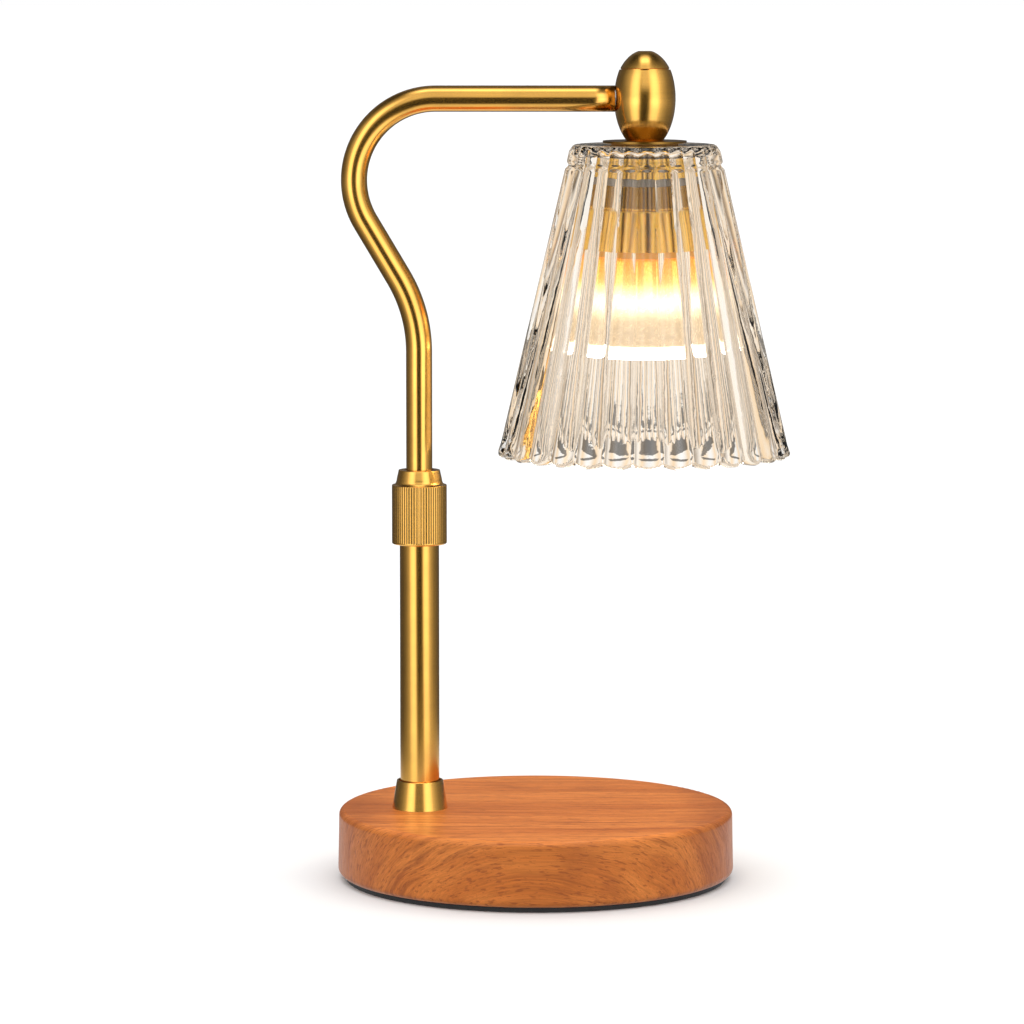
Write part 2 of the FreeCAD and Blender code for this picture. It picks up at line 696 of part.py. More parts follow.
def scallop_cutter():
    """The space between two domed rib ends at the rim, at angle zero."""
    half = math.pi * SHADE_RIM_RADIUS / RIBS - SCALLOP_FLAT / 2
    wall = SHADE_RIM_RIB + SHADE_RIM_WALL
    inner = SHADE_RIM_RADIUS - 2 * wall
    low = shade_low - SCALLOP_DEPTH
    outline = [V(inner, -half, low), V(inner, -half, shade_low), V(inner, 0, shade_low + SCALLOP_DEPTH),
               V(inner, half, shade_low), V(inner, half, low)]
    rises = [(outline[1], outline[2]), (outline[3], outline[2])]
    arcs = []
    for foot, top in rises:
        middle = V(inner, (foot.y + top.y) / 2, shade_low + SCALLOP_DEPTH / 4)
        arcs.append(Part.Arc(foot, middle, top).toShape())
    sides = [Part.makeLine(outline[0], outline[1]), Part.makeLine(outline[3], outline[4]),
             Part.makeLine(outline[4], outline[0])]
    face = Part.Face(Part.Wire(Part.__sortEdges__(arcs + sides)))
    return face.extrude(V(3 * wall, 0, 0))


def glass_shade():
    """The clear glass shade: ribs outside, smooth inside, domed rib ends at the rim."""
    shoulder = shade_top - SHADE_SHOULDER_DROP
    lower = Part.makeLoft([fluted_ring(SHADE_RIM_RADIUS, SHADE_RIM_RIB, shade_low),
                           fluted_ring(SHADE_SHOULDER_RADIUS, SHADE_NECK_RIB, shoulder)], True, True)
    upper = Part.makeLoft([fluted_ring(SHADE_SHOULDER_RADIUS, SHADE_NECK_RIB, shoulder),
                           fluted_ring(SHADE_TOP_RADIUS, SHADE_NECK_RIB, shade_top)], True, True)
    outside = lower.fuse(upper)
    clear = 2 * SHADE_RIM_RADIUS
    bevel = round_middle(SHADE_TOP_RADIUS, shade_top, SHADE_TOP_ROUND, 1)
    hood = turned(0, (0, shade_low), (clear, shade_low), (clear, shoulder),
                  (SHADE_SHOULDER_RADIUS + HOOD_CLEARANCE, shoulder),
                  (SHADE_TOP_RADIUS, shade_top - SHADE_TOP_ROUND),
                  (bevel, (SHADE_TOP_RADIUS - SHADE_TOP_ROUND, shade_top)), (0, shade_top))
    outside = outside.common(hood)
    rim = SHADE_RIM_RADIUS - SHADE_RIM_RIB - SHADE_RIM_WALL
    neck = SHADE_SHOULDER_RADIUS - SHADE_NECK_RIB - SHADE_NECK_WALL
    crown = round_middle(neck, shade_roof_low, SHADE_TOP_ROUND, 1)
    inside = turned(0, (0, shade_low), (rim, shade_low), (neck, shoulder),
                    (neck, shade_roof_low - SHADE_TOP_ROUND),
                    (crown, (neck - SHADE_TOP_ROUND, shade_roof_low)), (0, shade_roof_low))
    glass = outside.cut(inside).cut(rod(NIPPLE_RADIUS + SHADE_HOLE_GAP, shade_roof_low, shade_top))
    glass = glass.cut(Part.makeCompound(around(scallop_cutter(), RIBS, -90 + 180.0 / RIBS)))
    return moved(glass, head_x)


def holder_cup():
    """The stepped brass cup round the lamp holder and the neck of the bulb."""
    return turned(head_x, (NIPPLE_RADIUS, cup_top), (cup_neck_radius, cup_top), (cup_neck_radius, cup_step),
                  (cup_inner, cup_step),
                  (round_middle(CUP_RADIUS, cup_step, CUP_WALL, 1), (CUP_RADIUS, cup_step - CUP_WALL)),
                  (CUP_RADIUS, cup_low), (cup_inner, cup_low), (cup_inner, holder_seat),
                  (cup_neck_inner, holder_seat), (cup_neck_inner, cup_top - CUP_ROOF),
                  (NIPPLE_RADIUS, cup_top - CUP_ROOF)).cut(holder_screw_holes())


def screw_axes():
    """The two holder screws, one in front and one behind."""
    return [holder_screw_offset, -holder_screw_offset]


def holder_screw_holes():
    """The holes of the holder screws through holder and cup."""
    return Part.makeCompound([rod(HOLDER_SCREW_RADIUS, flange_low, cup_step, head_x, y)
                              for y in screw_axes()])


def holder_screws():
    """The two screws that hold the lamp holder up in its cup."""
    screws = []
    for y in screw_axes():
        head = rod(HOLDER_SCREW_HEAD, flange_low - HOLDER_SCREW_HEAD_HEIGHT, flange_low, head_x, y)
        screws.append(head.fuse(rod(HOLDER_SCREW_RADIUS, flange_low, cup_step, head_x, y)))
    return Part.makeCompound(screws)


def hanger_nut():
    """The nut inside the cup that ends the stack."""
    return hexagon(NUT_FLATS, NIPPLE_RADIUS, hanger_nut_low, cup_top - CUP_ROOF, head_x)


def curved_slot(half_width, low, high):
    """A slot along the pins' path as the bulb twists, centred on the shade's axis at zero."""
    corner = V(PIN_CIRCLE - half_width, 0, low)
    across = V(2 * half_width, 0, 0)
    rise = V(0, 0, high - low)
    outline = Part.makePolygon([corner, corner + across, corner + across + rise, corner + rise, corner])
    slot = Part.Face(outline).revolve(V(0, 0, 0), UP, TWIST_ANGLE)
    start = rod(half_width, low, high, PIN_CIRCLE)
    end = start.copy()
    end.rotate(V(0, 0, 0), UP, TWIST_ANGLE)
    return slot.fuse(start).fuse(end)


def lamp_holder():
    """The ceramic holder with two keyhole slots for the twist base."""
    body = rod(holder_radius, holder_low, holder_top)
    body = body.fuse(rod(holder_flange_radius, flange_low, holder_seat))
    ledge_top = holder_low + HOLDER_LEDGE
    chamber_top = pin_top + PIN_GAP + CONTACT_THICKNESS
    wide = PIN_HEAD_RADIUS + PIN_GAP
    entry = rod(wide, holder_low, ledge_top, PIN_CIRCLE)
    entry.rotate(V(0, 0, 0), UP, TWIST_ANGLE)
    keyhole = curved_slot(PIN_RADIUS + PIN_GAP, holder_low, ledge_top)
    keyhole = keyhole.fuse(curved_slot(wide, ledge_top, chamber_top)).fuse(entry)
    keyhole = keyhole.fuse(rod(CONTACT_ROD, chamber_top, holder_top, PIN_CIRCLE))
    for cutter in around(keyhole, 2):
        body = body.cut(cutter)
    return moved(body.removeSplitter(), head_x).cut(holder_screw_holes())


def holder_contacts():
    """The two spring contacts over the pins, with their terminals."""
    low = pin_top + PIN_GAP
    plate = rod(CONTACT_RADIUS, low, low + CONTACT_THICKNESS, PIN_CIRCLE)
    contact = plate.fuse(rod(CONTACT_ROD, low, low + CONTACT_THICKNESS + CONTACT_RISE, PIN_CIRCLE))
    return moved(Part.makeCompound(around(contact.removeSplitter(), 2)), head_x)


def holder_wires():
    """The two cores that run from the lead's end to the contacts."""
    height = hanger_low - WIRE_RADIUS
    wires = []
    for side in (-1, 1):
        start = V(head_x + side * WIRE_RADIUS, 0, height)
        end = V(head_x + side * (PIN_CIRCLE - CONTACT_ROD), 0, height)
        wires.append(bar(WIRE_RADIUS, start, end))
    return Part.makeCompound(wires)


def bulb_base():
    """The bulb's ceramic base, which twists in the holder."""
    low = bulb_top - BULB_BASE_HEIGHT
    side = (BULB_BODY_RADIUS - BULB_BASE_STEP, bulb_top - BULB_BASE_TAPER)
    top = (BULB_BODY_RADIUS - BULB_BASE_TOP_STEP, bulb_top)
    return turned(head_x, (0, low), (BULB_BODY_RADIUS, low), side, top, (0, bulb_top))


def bulb_pins():
    """The two headed pins of the twist base."""
    pin = rod(PIN_RADIUS, bulb_top, pin_head_low, PIN_CIRCLE)
    pin = pin.fuse(rod(PIN_HEAD_RADIUS, pin_head_low, pin_top, PIN_CIRCLE))
    return moved(Part.makeCompound(around(pin, 2)), head_x)


def bulb_reflector():
    """The bulb's bell shaped glass reflector."""
    high = bulb_top - BULB_BASE_HEIGHT
    low = bulb_low + BULB_RIM
    rim = BULB_RADIUS - BULB_GLASS
    belly = (BULB_RADIUS - BULB_BELLY_INSET, high - BULB_BELLY_DROP)
    inner_belly = (belly[0] - BULB_GLASS, belly[1] - BULB_GLASS / 2)
    return turned(head_x, (0, high), (BULB_BODY_RADIUS, high), (belly, (rim, low)), (rim - BULB_GLASS, low),
                  (inner_belly, (BULB_BODY_RADIUS - BULB_GLASS, high - BULB_GLASS)), (0, high - BULB_GLASS))


def bulb_lens():
    """The front glass of the bulb with its upturned rim."""
    high = bulb_low + BULB_RIM
    inner = BULB_RADIUS - 2 * BULB_GLASS
    dome = round_middle(BULB_RADIUS, bulb_low, BULB_LENS, -1)
    return turned(head_x, (0, bulb_low), (BULB_RADIUS - BULB_LENS, bulb_low),
                  (dome, (BULB_RADIUS, bulb_low + BULB_LENS)), (BULB_RADIUS, high), (inner, high),
                  (inner, bulb_low + BULB_LENS), (0, bulb_low + BULB_LENS))


def bulb_capsule():
    """The capsule inside the reflector, hollow round its filament."""
    high = bulb_top - BULB_BASE_HEIGHT - BULB_GLASS
    low = high - CAPSULE_LENGTH
    tip = round_middle(CAPSULE_RADIUS, low, CAPSULE_RADIUS, -1)
    shell = turned(head_x, (0, high), (CAPSULE_RADIUS, high), (CAPSULE_RADIUS, low + CAPSULE_RADIUS),
                   (tip, (0, low)))
    return shell.cut(rod(FILAMENT_RADIUS, filament_low(), high, head_x))


def filament_low():
    """The height of the filament's lower end."""
    return bulb_top - BULB_BASE_HEIGHT - BULB_GLASS - CAPSULE_LENGTH + CAPSULE_RADIUS


def bulb_filament():
    """The glowing filament on its support, inside the capsule."""
    return rod(FILAMENT_RADIUS, filament_low(), bulb_top - BULB_BASE_HEIGHT - BULB_GLASS, head_x)


def base_lead():
    """The lead from behind the grommet, through the channel and up into the stem."""
    rear = BASE_RADIUS - GROMMET_SINK - GROMMET_DEPTH - STOP_GAP
    points = [V(0, rear, lead_height), V(0, 0, lead_height), V(stem_x, 0, lead_height),
              V(stem_x, 0, plug_top)]
    return swept(rounded_route(points, [LEAD_SWEEP, lead_rise]), LEAD_RADIUS)


def lead_slack():
    """The spare lead in the lower tube, which folds as the arm comes down."""
    low = plug_top
    high = arm_low
    step = (high - low - 2 * SLACK_END_RUN) / SLACK_WAVES
    points = [V(stem_x, 0, low)]
    for number in range(SLACK_WAVES + 1):
        swing = SLACK_SWING * (0 if number in (0, SLACK_WAVES) else (-1) ** number)
        points.append(V(stem_x + swing, 0, low + SLACK_END_RUN + step * number))
    points.append(V(stem_x, 0, high))
    return swept(rounded_route(points, [3 * LEAD_RADIUS] * (len(points) - 2)), LEAD_RADIUS)


def arm_lead():
    """The lead through the arm, down through the finial and the hanger to the lamp holder."""
    route = arm_route(arm_low, head_x - LEAD_BEND)
    turn_start = V(head_x - LEAD_BEND, 0, arm_height)
    turn_end = V(head_x, 0, arm_height - LEAD_BEND)
    middle = turn_end + V(-LEAD_BEND * (1 - math.sqrt(0.5)), 0, LEAD_BEND * math.sqrt(0.5))
    route.append(Part.Arc(turn_start, middle, turn_end).toShape())
    route.append(Part.makeLine(turn_end, V(head_x, 0, hanger_low)))
    return swept(route, LEAD_RADIUS)


PIECES = [base_wood, ballast_plate, ballast_screws, foot_pad, cord_grommet, base_lead, stem_flange,
          lower_tube, tube_plug, stem_nipple, stem_washer, stem_nut, lead_slack, clamp_collet,
          clamp_nut, guide_bush, guide_rings, arm_tube, arm_spigot, arm_lead, finial_body, finial_cap,
          grub_screw, hanger_rod, top_plate, top_gasket, glass_shade, inner_gasket, neck_cap,
          shade_ring_nut, holder_cup, hanger_nut, lamp_holder, holder_contacts, holder_wires,
          holder_screws, bulb_base, bulb_pins, bulb_reflector, bulb_lens, bulb_capsule, bulb_filament]

os.makedirs("parts", exist_ok=True)
for make in PIECES:
    shape = make()
    shape.exportStep("parts/" + make.__name__ + ".step")
    print(make.__name__, len(shape.Solids), shape.isValid(), round(shape.Volume, 2))
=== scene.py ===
import math

import bmesh
import bpy
from bpy.props import FloatProperty, FloatVectorProperty, IntProperty, PointerProperty
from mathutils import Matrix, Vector


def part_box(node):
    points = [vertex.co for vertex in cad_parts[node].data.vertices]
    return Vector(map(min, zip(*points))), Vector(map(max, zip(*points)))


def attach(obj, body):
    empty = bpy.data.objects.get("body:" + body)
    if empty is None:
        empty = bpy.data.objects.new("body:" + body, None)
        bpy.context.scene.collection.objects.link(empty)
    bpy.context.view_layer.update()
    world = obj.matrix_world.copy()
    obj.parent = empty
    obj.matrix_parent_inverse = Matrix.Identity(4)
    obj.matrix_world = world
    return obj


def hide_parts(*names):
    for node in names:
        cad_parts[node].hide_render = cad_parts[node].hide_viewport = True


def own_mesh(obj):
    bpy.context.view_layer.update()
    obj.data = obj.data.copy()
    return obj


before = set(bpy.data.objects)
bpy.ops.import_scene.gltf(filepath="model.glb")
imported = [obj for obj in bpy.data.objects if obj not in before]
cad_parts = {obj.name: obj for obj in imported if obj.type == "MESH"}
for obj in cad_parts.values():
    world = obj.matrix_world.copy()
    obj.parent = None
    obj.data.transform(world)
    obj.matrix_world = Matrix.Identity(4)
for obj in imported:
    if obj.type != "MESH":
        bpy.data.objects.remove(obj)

bl_info = {
    "name": "Candle warmer lamp",
    "version": (1, 0, 0),
    "blender": (4, 5, 0),
    "location": "View3D > Sidebar > Lamp",
    "description": "Gives the candle warmer lamp its finished surfaces, its ribbed glass and its light",
    "category": "Object",
}

# The lamp's own axes. The stem stands at the left, the shade hangs at the right, and the front is -Y.
MM = 0.001
UP = Vector((0, 0, 1))
ORIGIN = Vector((0, 0, 0))
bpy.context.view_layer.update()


def lowest(node):
    """The height of a piece's lowest point."""
    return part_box(node)[0].z


def highest(node):
    """The height of a piece's highest point."""
    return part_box(node)[1].z


def middle(node):
    """The place along X of a piece's middle."""
    first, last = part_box(node)
    return (first.x + last.x) / 2


def radius(node):
    """Half of a round piece's width."""
    first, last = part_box(node)
    return (last.x - first.x) / 2


STEM_X = middle("lower_tube")
HEAD_X = middle("glass_shade")

# Light through the reflector from its foot to its neck
LEAK = ((0.0, (0.46, 0.37, 0.26)), (0.20, (0.50, 0.40, 0.27)), (0.34, (0.66, 0.54, 0.37)),
        (0.50, (0.92, 0.80, 0.60)), (0.68, (0.68, 0.47, 0.26)), (0.82, (0.50, 0.24, 0.07)),
        (1.0, (0.42, 0.18, 0.03)))
# Colour of the reflector's glass from its foot to its neck
MIRROR = ((0.0, (0.42, 0.38, 0.31)), (0.20, (0.50, 0.45, 0.36)), (0.38, (0.90, 0.84, 0.72)),
          (0.62, (0.95, 0.86, 0.70)), (0.85, (0.95, 0.66, 0.36)), (1.0, (0.92, 0.52, 0.16)))
# What the brass mirrors by heading in degrees, with 0 in front of the lamp and 90 to its right
BOXES = ((-180, 0.05), (-108, 0.06), (-85, 0.12), (-64, 0.28), (-50, 0.85), (-40, 1.05), (-27, 0.95),
         (-17, 0.04), (0, 0.02), (13, 0.04), (24, 0.85), (32, 1.05), (48, 0.95), (60, 0.45), (76, 0.26),
         (95, 0.14), (125, 0.08), (180, 0.05))
# What the glass shows from straight behind it, past its sides, to the front
STRIPS = ((0.0, (1.0, 1.0, 1.0)), (0.022, (1.0, 0.96, 0.90)), (0.055, (1.0, 0.76, 0.50)),
          (0.085, (1.0, 0.93, 0.84)), (0.12, (0.30, 0.22, 0.15)), (0.15, (0.98, 0.74, 0.49)),
          (0.20, (1.0, 0.90, 0.77)), (0.25, (0.16, 0.12, 0.08)), (0.29, (0.95, 0.70, 0.43)),
          (0.38, (1.0, 0.88, 0.72)), (0.50, (1.0, 0.97, 0.93)), (0.62, (1.0, 0.80, 0.57)),
          (0.72, (0.22, 0.16, 0.11)), (0.80, (1.0, 0.80, 0.57)), (0.88, (1.0, 0.90, 0.77)),
          (0.93, (0.40, 0.31, 0.22)), (0.96, (0.05, 0.04, 0.03)), (1.0, (0.03, 0.025, 0.02)))


def length(name, description, size):
    """A size in the sidebar, given in millimetres."""
    return FloatProperty(name=name, description=description, default=size * MM, unit="LENGTH")


def share(name, description, value):
    """A setting from none to all."""
    return FloatProperty(name=name, description=description, default=value, min=0.0, max=1.0,
                         subtype="FACTOR")


def colour(name, description, value):
    """A colour in the sidebar."""
    return FloatVectorProperty(name=name, description=description, default=value, size=3, min=0.0,
                               max=1.0, subtype="COLOR")


def power(name, description, value):
    """A brightness in the sidebar."""
    return FloatProperty(name=name, description=description, default=value, min=0.0)


class LampGlassSizes(bpy.types.PropertyGroup):
    """Sizes of the ribbed glass shade."""
    ribs: IntProperty(name="Ribs", description="Ribs round the shade", default=30, min=8)
    rim_rib: length("Rib at the rim", "How far a rib stands out at the rim", 1.9)
    neck_rib: length("Rib at the neck", "How far a rib stands out at the neck", 1.7)
    rim_wall: length("Wall at the rim", "Glass behind the ribs at the rim", 3.0)
    neck_wall: length("Wall at the neck", "Glass behind the ribs at the neck", 3.0)
    roof: length("Roof", "Thickness of the top of the shade", 4.0)
    shoulder_drop: length("Shoulder drop", "Height of the short band under the top", 8.1)
    shoulder_radius: length("Shoulder radius", "Radius at the crest of the ribs under the band", 30.6)
    top_radius: length("Top radius", "Radius at the crest of the ribs at the top", 29.6)
    top_round: length("Top rounding", "Rounding between the top and the band", 3.5)
    rim_round: length("Rim rounding", "Rounding of the rim's outer edge", 1.6)
    scallop: length("Scallop", "How far the rim rises between two ribs", 1.4)
    hole: length("Hole", "Radius of the hole in the top", 5.4)


class LampMetalSizes(bpy.types.PropertyGroup):
    """Sizes of the bent arm and the clamp nut."""
    lean_start: length("Lean start", "Straight arm above the clamp nut", 46.1)
    lean_angle: FloatProperty(name="Lean angle", description="How far the arm leans back from the shade",
                              default=math.radians(30.7), subtype="ANGLE")
    lean_radius: length("Lean radius", "Radius of the lower bend", 57.0)
    lean_run: length("Lean run", "Straight length between the bends", 24.7)
    crook_radius: length("Crook radius", "Radius of the upper bend", 31.5)
    arm_wall: length("Arm wall", "Wall of the arm's tube", 0.9)
    travel: length("Travel", "How far the arm comes down into the stem", 40.0)
    nose_height: length("Nose height", "Height of the plain nose over the knurl", 5.8)
    knurl_depth: length("Knurl depth", "Depth of the grooves in the clamp nut", 0.17)
    knurl_teeth: IntProperty(name="Knurl teeth", description="Grooves round the clamp nut", default=60,
                             min=12)
    knurl_border: length("Knurl border", "Plain edge over and under the grooves", 0.1)


class LampFinish(bpy.types.PropertyGroup):
    """Colours and gloss of the lamp."""
    brass: colour("Brass", "Colour of the satin brass", (0.88, 0.455, 0.062))
    lit_brass: colour("Lit brass", "Colour of the brass under the glass", (0.98, 0.66, 0.16))
    brass_roughness: share("Brass roughness", "How dull the brass is", 0.17)
    wood_light: colour("Light wood", "Colour of the early wood", (0.73, 0.228, 0.043))
    wood_middle: colour("Middle wood", "Colour of most of the wood", (0.58, 0.160, 0.026))
    wood_dark: colour("Dark wood", "Colour of the late wood", (0.28, 0.066, 0.014))
    wood_gloss: share("Varnish", "How much varnish lies on the wood", 0.14)
    glass: colour("Glass", "Colour of the shade's glass", (1.0, 0.98, 0.95))
    steel: colour("Plated steel", "Colour of the plated fittings", (0.60, 0.59, 0.57))
    rubber: colour("Rubber", "Colour of the foot pad", (0.012, 0.012, 0.013))
    ceramic: colour("Ceramic", "Colour of the lamp holder", (0.80, 0.77, 0.71))


class LampGlow(bpy.types.PropertyGroup):
    """The light of the bulb."""
    capsule: power("Capsule", "Brightness of the glowing capsule", 4.0)
    lens: power("Front glass", "Brightness of the front glass", 8.0)
    rim: power("Rim", "Brightness of the rim round the front glass", 1.7)
    bell: power("Reflector", "Brightness of the light that leaks through the reflector", 1.0)
    warm: colour("Warm light", "Colour of the light", (1.0, 0.80, 0.52))
    pale: colour("Rim light", "Colour of the lit rim", (1.0, 0.90, 0.70))


class LampStudio(bpy.types.PropertyGroup):
    """Camera, floor and light round the lamp."""
    lens: FloatProperty(name="Lens", description="Focal length of the camera", default=173.4, unit="CAMERA")
    pitch: FloatProperty(name="Pitch", description="How far the camera looks down",
                         default=math.radians(6.5), subtype="ANGLE")
    camera_x: length("Camera along X", "Place of the camera along X, with the lamp's right above 0", -9.3)
    camera_y: length("Camera along Y", "Place of the camera along Y, with the front below 0", -1910.0)
    camera_z: length("Camera height", "Height of the camera", 361.6)
    floor_size: length("Floor", "Width of the floor", 60000.0)
    fill: power("Fill light", "Brightness of the light from low down on dull surfaces", 0.25)
    overhead: power("Overhead light", "Extra brightness of the light from above on dull surfaces", 1.95)
    softbox: power("Soft boxes", "Brightness of the soft boxes in reflections", 1.7)


# Making meshes

def arc(centre_r, centre_z, size, first, last, steps):
    """Points of an arc in a (radius, height) outline, from one angle to another in degrees from level."""
    angles = [math.radians(first + (last - first) * number / steps) for number in range(steps + 1)]
    return [(centre_r + size * math.cos(angle), centre_z + size * math.sin(angle)) for angle in angles]


def straight(start, end, steps):
    """Points along a straight stretch of an outline, without its end."""
    across, up = end[0] - start[0], end[1] - start[1]
    return [(start[0] + across * number / steps, start[1] + up * number / steps) for number in range(steps)]


def curve(start, pull, end, steps):
    """Points of a smooth sweep from start to end that leans towards pull."""
    points = []
    for number in range(steps + 1):
        t = number / steps
        near, mid, far = (1 - t) ** 2, 2 * t * (1 - t), t * t
        points.append(tuple(near * a + mid * b + far * c for a, b, c in zip(start, pull, end)))
    return points


def spun(outline, steps, closed=True):
    """A (radius, height) outline turned once round the upright axis.
    One that isn't closed starts and ends on the axis."""
    mesh = bmesh.new()
    corners = [mesh.verts.new((r, 0, z)) for r, z in outline]
    ends = corners[1:] + corners[:1] if closed else corners[1:]
    sides = [mesh.edges.new(pair) for pair in zip(corners, ends)]
    bmesh.ops.spin(mesh, geom=corners + sides, cent=ORIGIN, axis=UP, angle=2 * math.pi, steps=steps,
                   use_merge=True)
    bmesh.ops.remove_doubles(mesh, verts=mesh.verts, dist=MM / 10000)
    bmesh.ops.recalc_face_normals(mesh, faces=mesh.faces)
    return mesh


def finished(mesh, name, material, body, slot, *nodes, crease=35.0):
    """Turns a bmesh into a piece of the lamp that rides on a body and stands for CAD nodes."""
    data = bpy.data.meshes.new(name)
    mesh.to_mesh(data)
    mesh.free()
    data.shade_smooth()
    data.set_sharp_from_angle(angle=math.radians(crease))
    data.materials.append(material)
    piece = bpy.data.objects.new(name, data)
    bpy.context.scene.collection.objects.link(piece)
    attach(piece, body)
    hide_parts(*nodes)
    return piece


def smooth_step(value):
    """Runs gently from 0 to 1."""
    value = min(1.0, max(0.0, value))
    return value * value * (3 - 2 * value)


# Making materials

def add(tree, kind, inputs=None, **settings):
    """Adds a node, sets what it does, and fills or links its inputs."""
    node = tree.nodes.new("ShaderNode" + kind)
    for key, value in settings.items():
        setattr(node, key, value)
    for key, value in (inputs or {}).items():
        if isinstance(value, bpy.types.NodeSocket):
            tree.links.new(value, node.inputs[key])
        else:
            node.inputs[key].default_value = value
    return node


def maths(tree, operation, first, second=0.0):
    """The result of one sum."""
    return add(tree, "Math", {0: first, 1: second}, operation=operation).outputs[0]


def distance_from(tree, x, y):
    """How far two values lie from nought, taken as places on a plane."""
    squares = maths(tree, "ADD", maths(tree, "MULTIPLY", x, x), maths(tree, "MULTIPLY", y, y))
    return maths(tree, "SQRT", squares)


def ranged(tree, value, start, end, low=0.0, high=1.0):
    """A value brought smoothly from one range to another."""
    inputs = {"Value": value, "From Min": start, "From Max": end, "To Min": low, "To Max": high}
    return add(tree, "MapRange", inputs, interpolation_type="SMOOTHSTEP").outputs[0]


def noise(tree, vector, scale, detail=3.0, roughness=0.55):
    """A noise value round one half."""
    inputs = {"Vector": vector, "Scale": scale, "Detail": detail, "Roughness": roughness}
    return add(tree, "TexNoise", inputs).outputs["Fac"]


def blend(tree, factor, first, second, mode="MIX"):
    """A mix of two colours."""
    node = add(tree, "Mix", data_type="RGBA", blend_type=mode)
    for key, value in (("Factor_Float", factor), ("A_Color", first), ("B_Color", second)):
        socket = next(s for s in node.inputs if s.identifier == key)
        if isinstance(value, bpy.types.NodeSocket):
            tree.links.new(value, socket)
        elif key == "Factor_Float":
            socket.default_value = value
        else:
            socket.default_value = (*value, 1.0)
    return next(s for s in node.outputs if s.identifier == "Result_Color")


def ramp(tree, factor, stops):
    """A colour that runs through stops, each with its place from 0 to 1."""
    node = add(tree, "ValToRGB", {0: factor})
    first, *others, last = [(place, (*tint, 1.0)) for place, tint in stops]
    points = node.color_ramp.elements
    points[0].position, points[0].color = first
    points[1].position, points[1].color = last
    for place, tint in others:
        points.new(place).color = tint
    return node.outputs[0]


def joined(tree, x, y, z):
    """A vector from three values."""
    return add(tree, "CombineXYZ", {0: x, 1: y, 2: z}).outputs[0]


def split(tree, vector):
    """The three values of a vector."""
    return add(tree, "SeparateXYZ", {0: vector}).outputs


def millimetres(tree, centre=0.0, attribute=None):
    """Places on the piece in millimetres, from an axis along X or from an attribute of its own."""
    if attribute:
        place = add(tree, "Attribute", attribute_name=attribute).outputs["Vector"]
    else:
        place = add(tree, "TexCoord").outputs["Object"]
    scale = 1 / MM
    return add(tree, "Mapping", {"Vector": place, "Location": (-centre * scale, 0, 0),
                                 "Scale": (scale, scale, scale)}).outputs[0]


def on_stem(tree):
    """Places in millimetres round the stem's axis."""
    return millimetres(tree, STEM_X)


def on_head(tree):
    """Places in millimetres round the shade's axis."""
    return millimetres(tree, HEAD_X)


def stretched(tree, place, x, y, z):
    """Places scaled apart along the three axes."""
    return add(tree, "VectorMath", {0: place, 1: (x, y, z)}, operation="MULTIPLY").outputs[0]


def bump(tree, height, depth):
    """A raised surface, with its depth in millimetres."""
    return add(tree, "Bump", {"Height": height, "Distance": depth * MM, "Strength": 1.0}).outputs[0]


def surface(name, **inputs):
    """A material with one main shader. Constant inputs are set on it at once."""
    material = bpy.data.materials.new(name)
    material.use_nodes = True
    tree = material.node_tree
    shader = next(node for node in tree.nodes if node.type == "BSDF_PRINCIPLED")
    for key, value in inputs.items():
        shader.inputs[key.replace("_", " ")].default_value = value
    return material, tree, shader


def darker(tint, left):
    """A colour with only some of its brightness left."""
    return tuple(value * left for value in tint)


def connect(tree, shader, **sockets):
    """Links values to the main shader's inputs."""
    for key, socket in sockets.items():
        tree.links.new(socket, shader.inputs[key.replace("_", " ")])


def show(tree, node):
    """Makes a node's shader the one that the material shows."""
    output = next(other for other in tree.nodes if other.type == "OUTPUT_MATERIAL")
    tree.links.new(node.outputs[0], output.inputs["Surface"])


def brass(name, finish, place_of, run, rougher=0.0, dark=0.0, coat=0.45, painted_shade=None, tint=None):
    """Satin brass. Its fine brush lines run round the piece where run is 'round', and else along it.
    The optional mask function paints shade onto the brass: its value is 1 where that painted shade is
    darkest."""
    material, tree, shader = surface(name, Metallic=1.0, Coat_Weight=coat, Coat_Roughness=0.12, Coat_IOR=1.9)
    place = place_of(tree)
    lines = (0.05, 0.05, 9.0) if run == "round" else (7.0, 7.0, 0.04)
    brushed = noise(tree, stretched(tree, place, *lines), 1.0, 4.0, 0.65)
    patches = noise(tree, place, 0.07, 3.0)
    tint = tint or finish.brass
    tone = blend(tree, ranged(tree, patches, 0.35, 0.7), tint, darker(tint, 0.88))
    streaks = ranged(tree, brushed, 0.3, 0.7, 0.93 - dark, 1.05 - dark)
    toned = blend(tree, 1.0, tone, joined(tree, streaks, streaks, streaks), "MULTIPLY")
    rough = finish.brass_roughness + rougher
    smear = maths(tree, "ADD", ranged(tree, brushed, 0.25, 0.75, rough - 0.03, rough + 0.04),
                  ranged(tree, patches, 0.3, 0.8, 0.0, 0.03))
    # Painted shade: where the mask is high, the brass is darkened towards deep brown.
    if painted_shade:
        toned = blend(tree, maths(tree, "MULTIPLY", painted_shade(tree), 0.8), toned, darker(finish.brass, 0.25))
    connect(tree, shader, Base_Color=toned, Roughness=smear, Normal=bump(tree, brushed, 0.002))
    return material


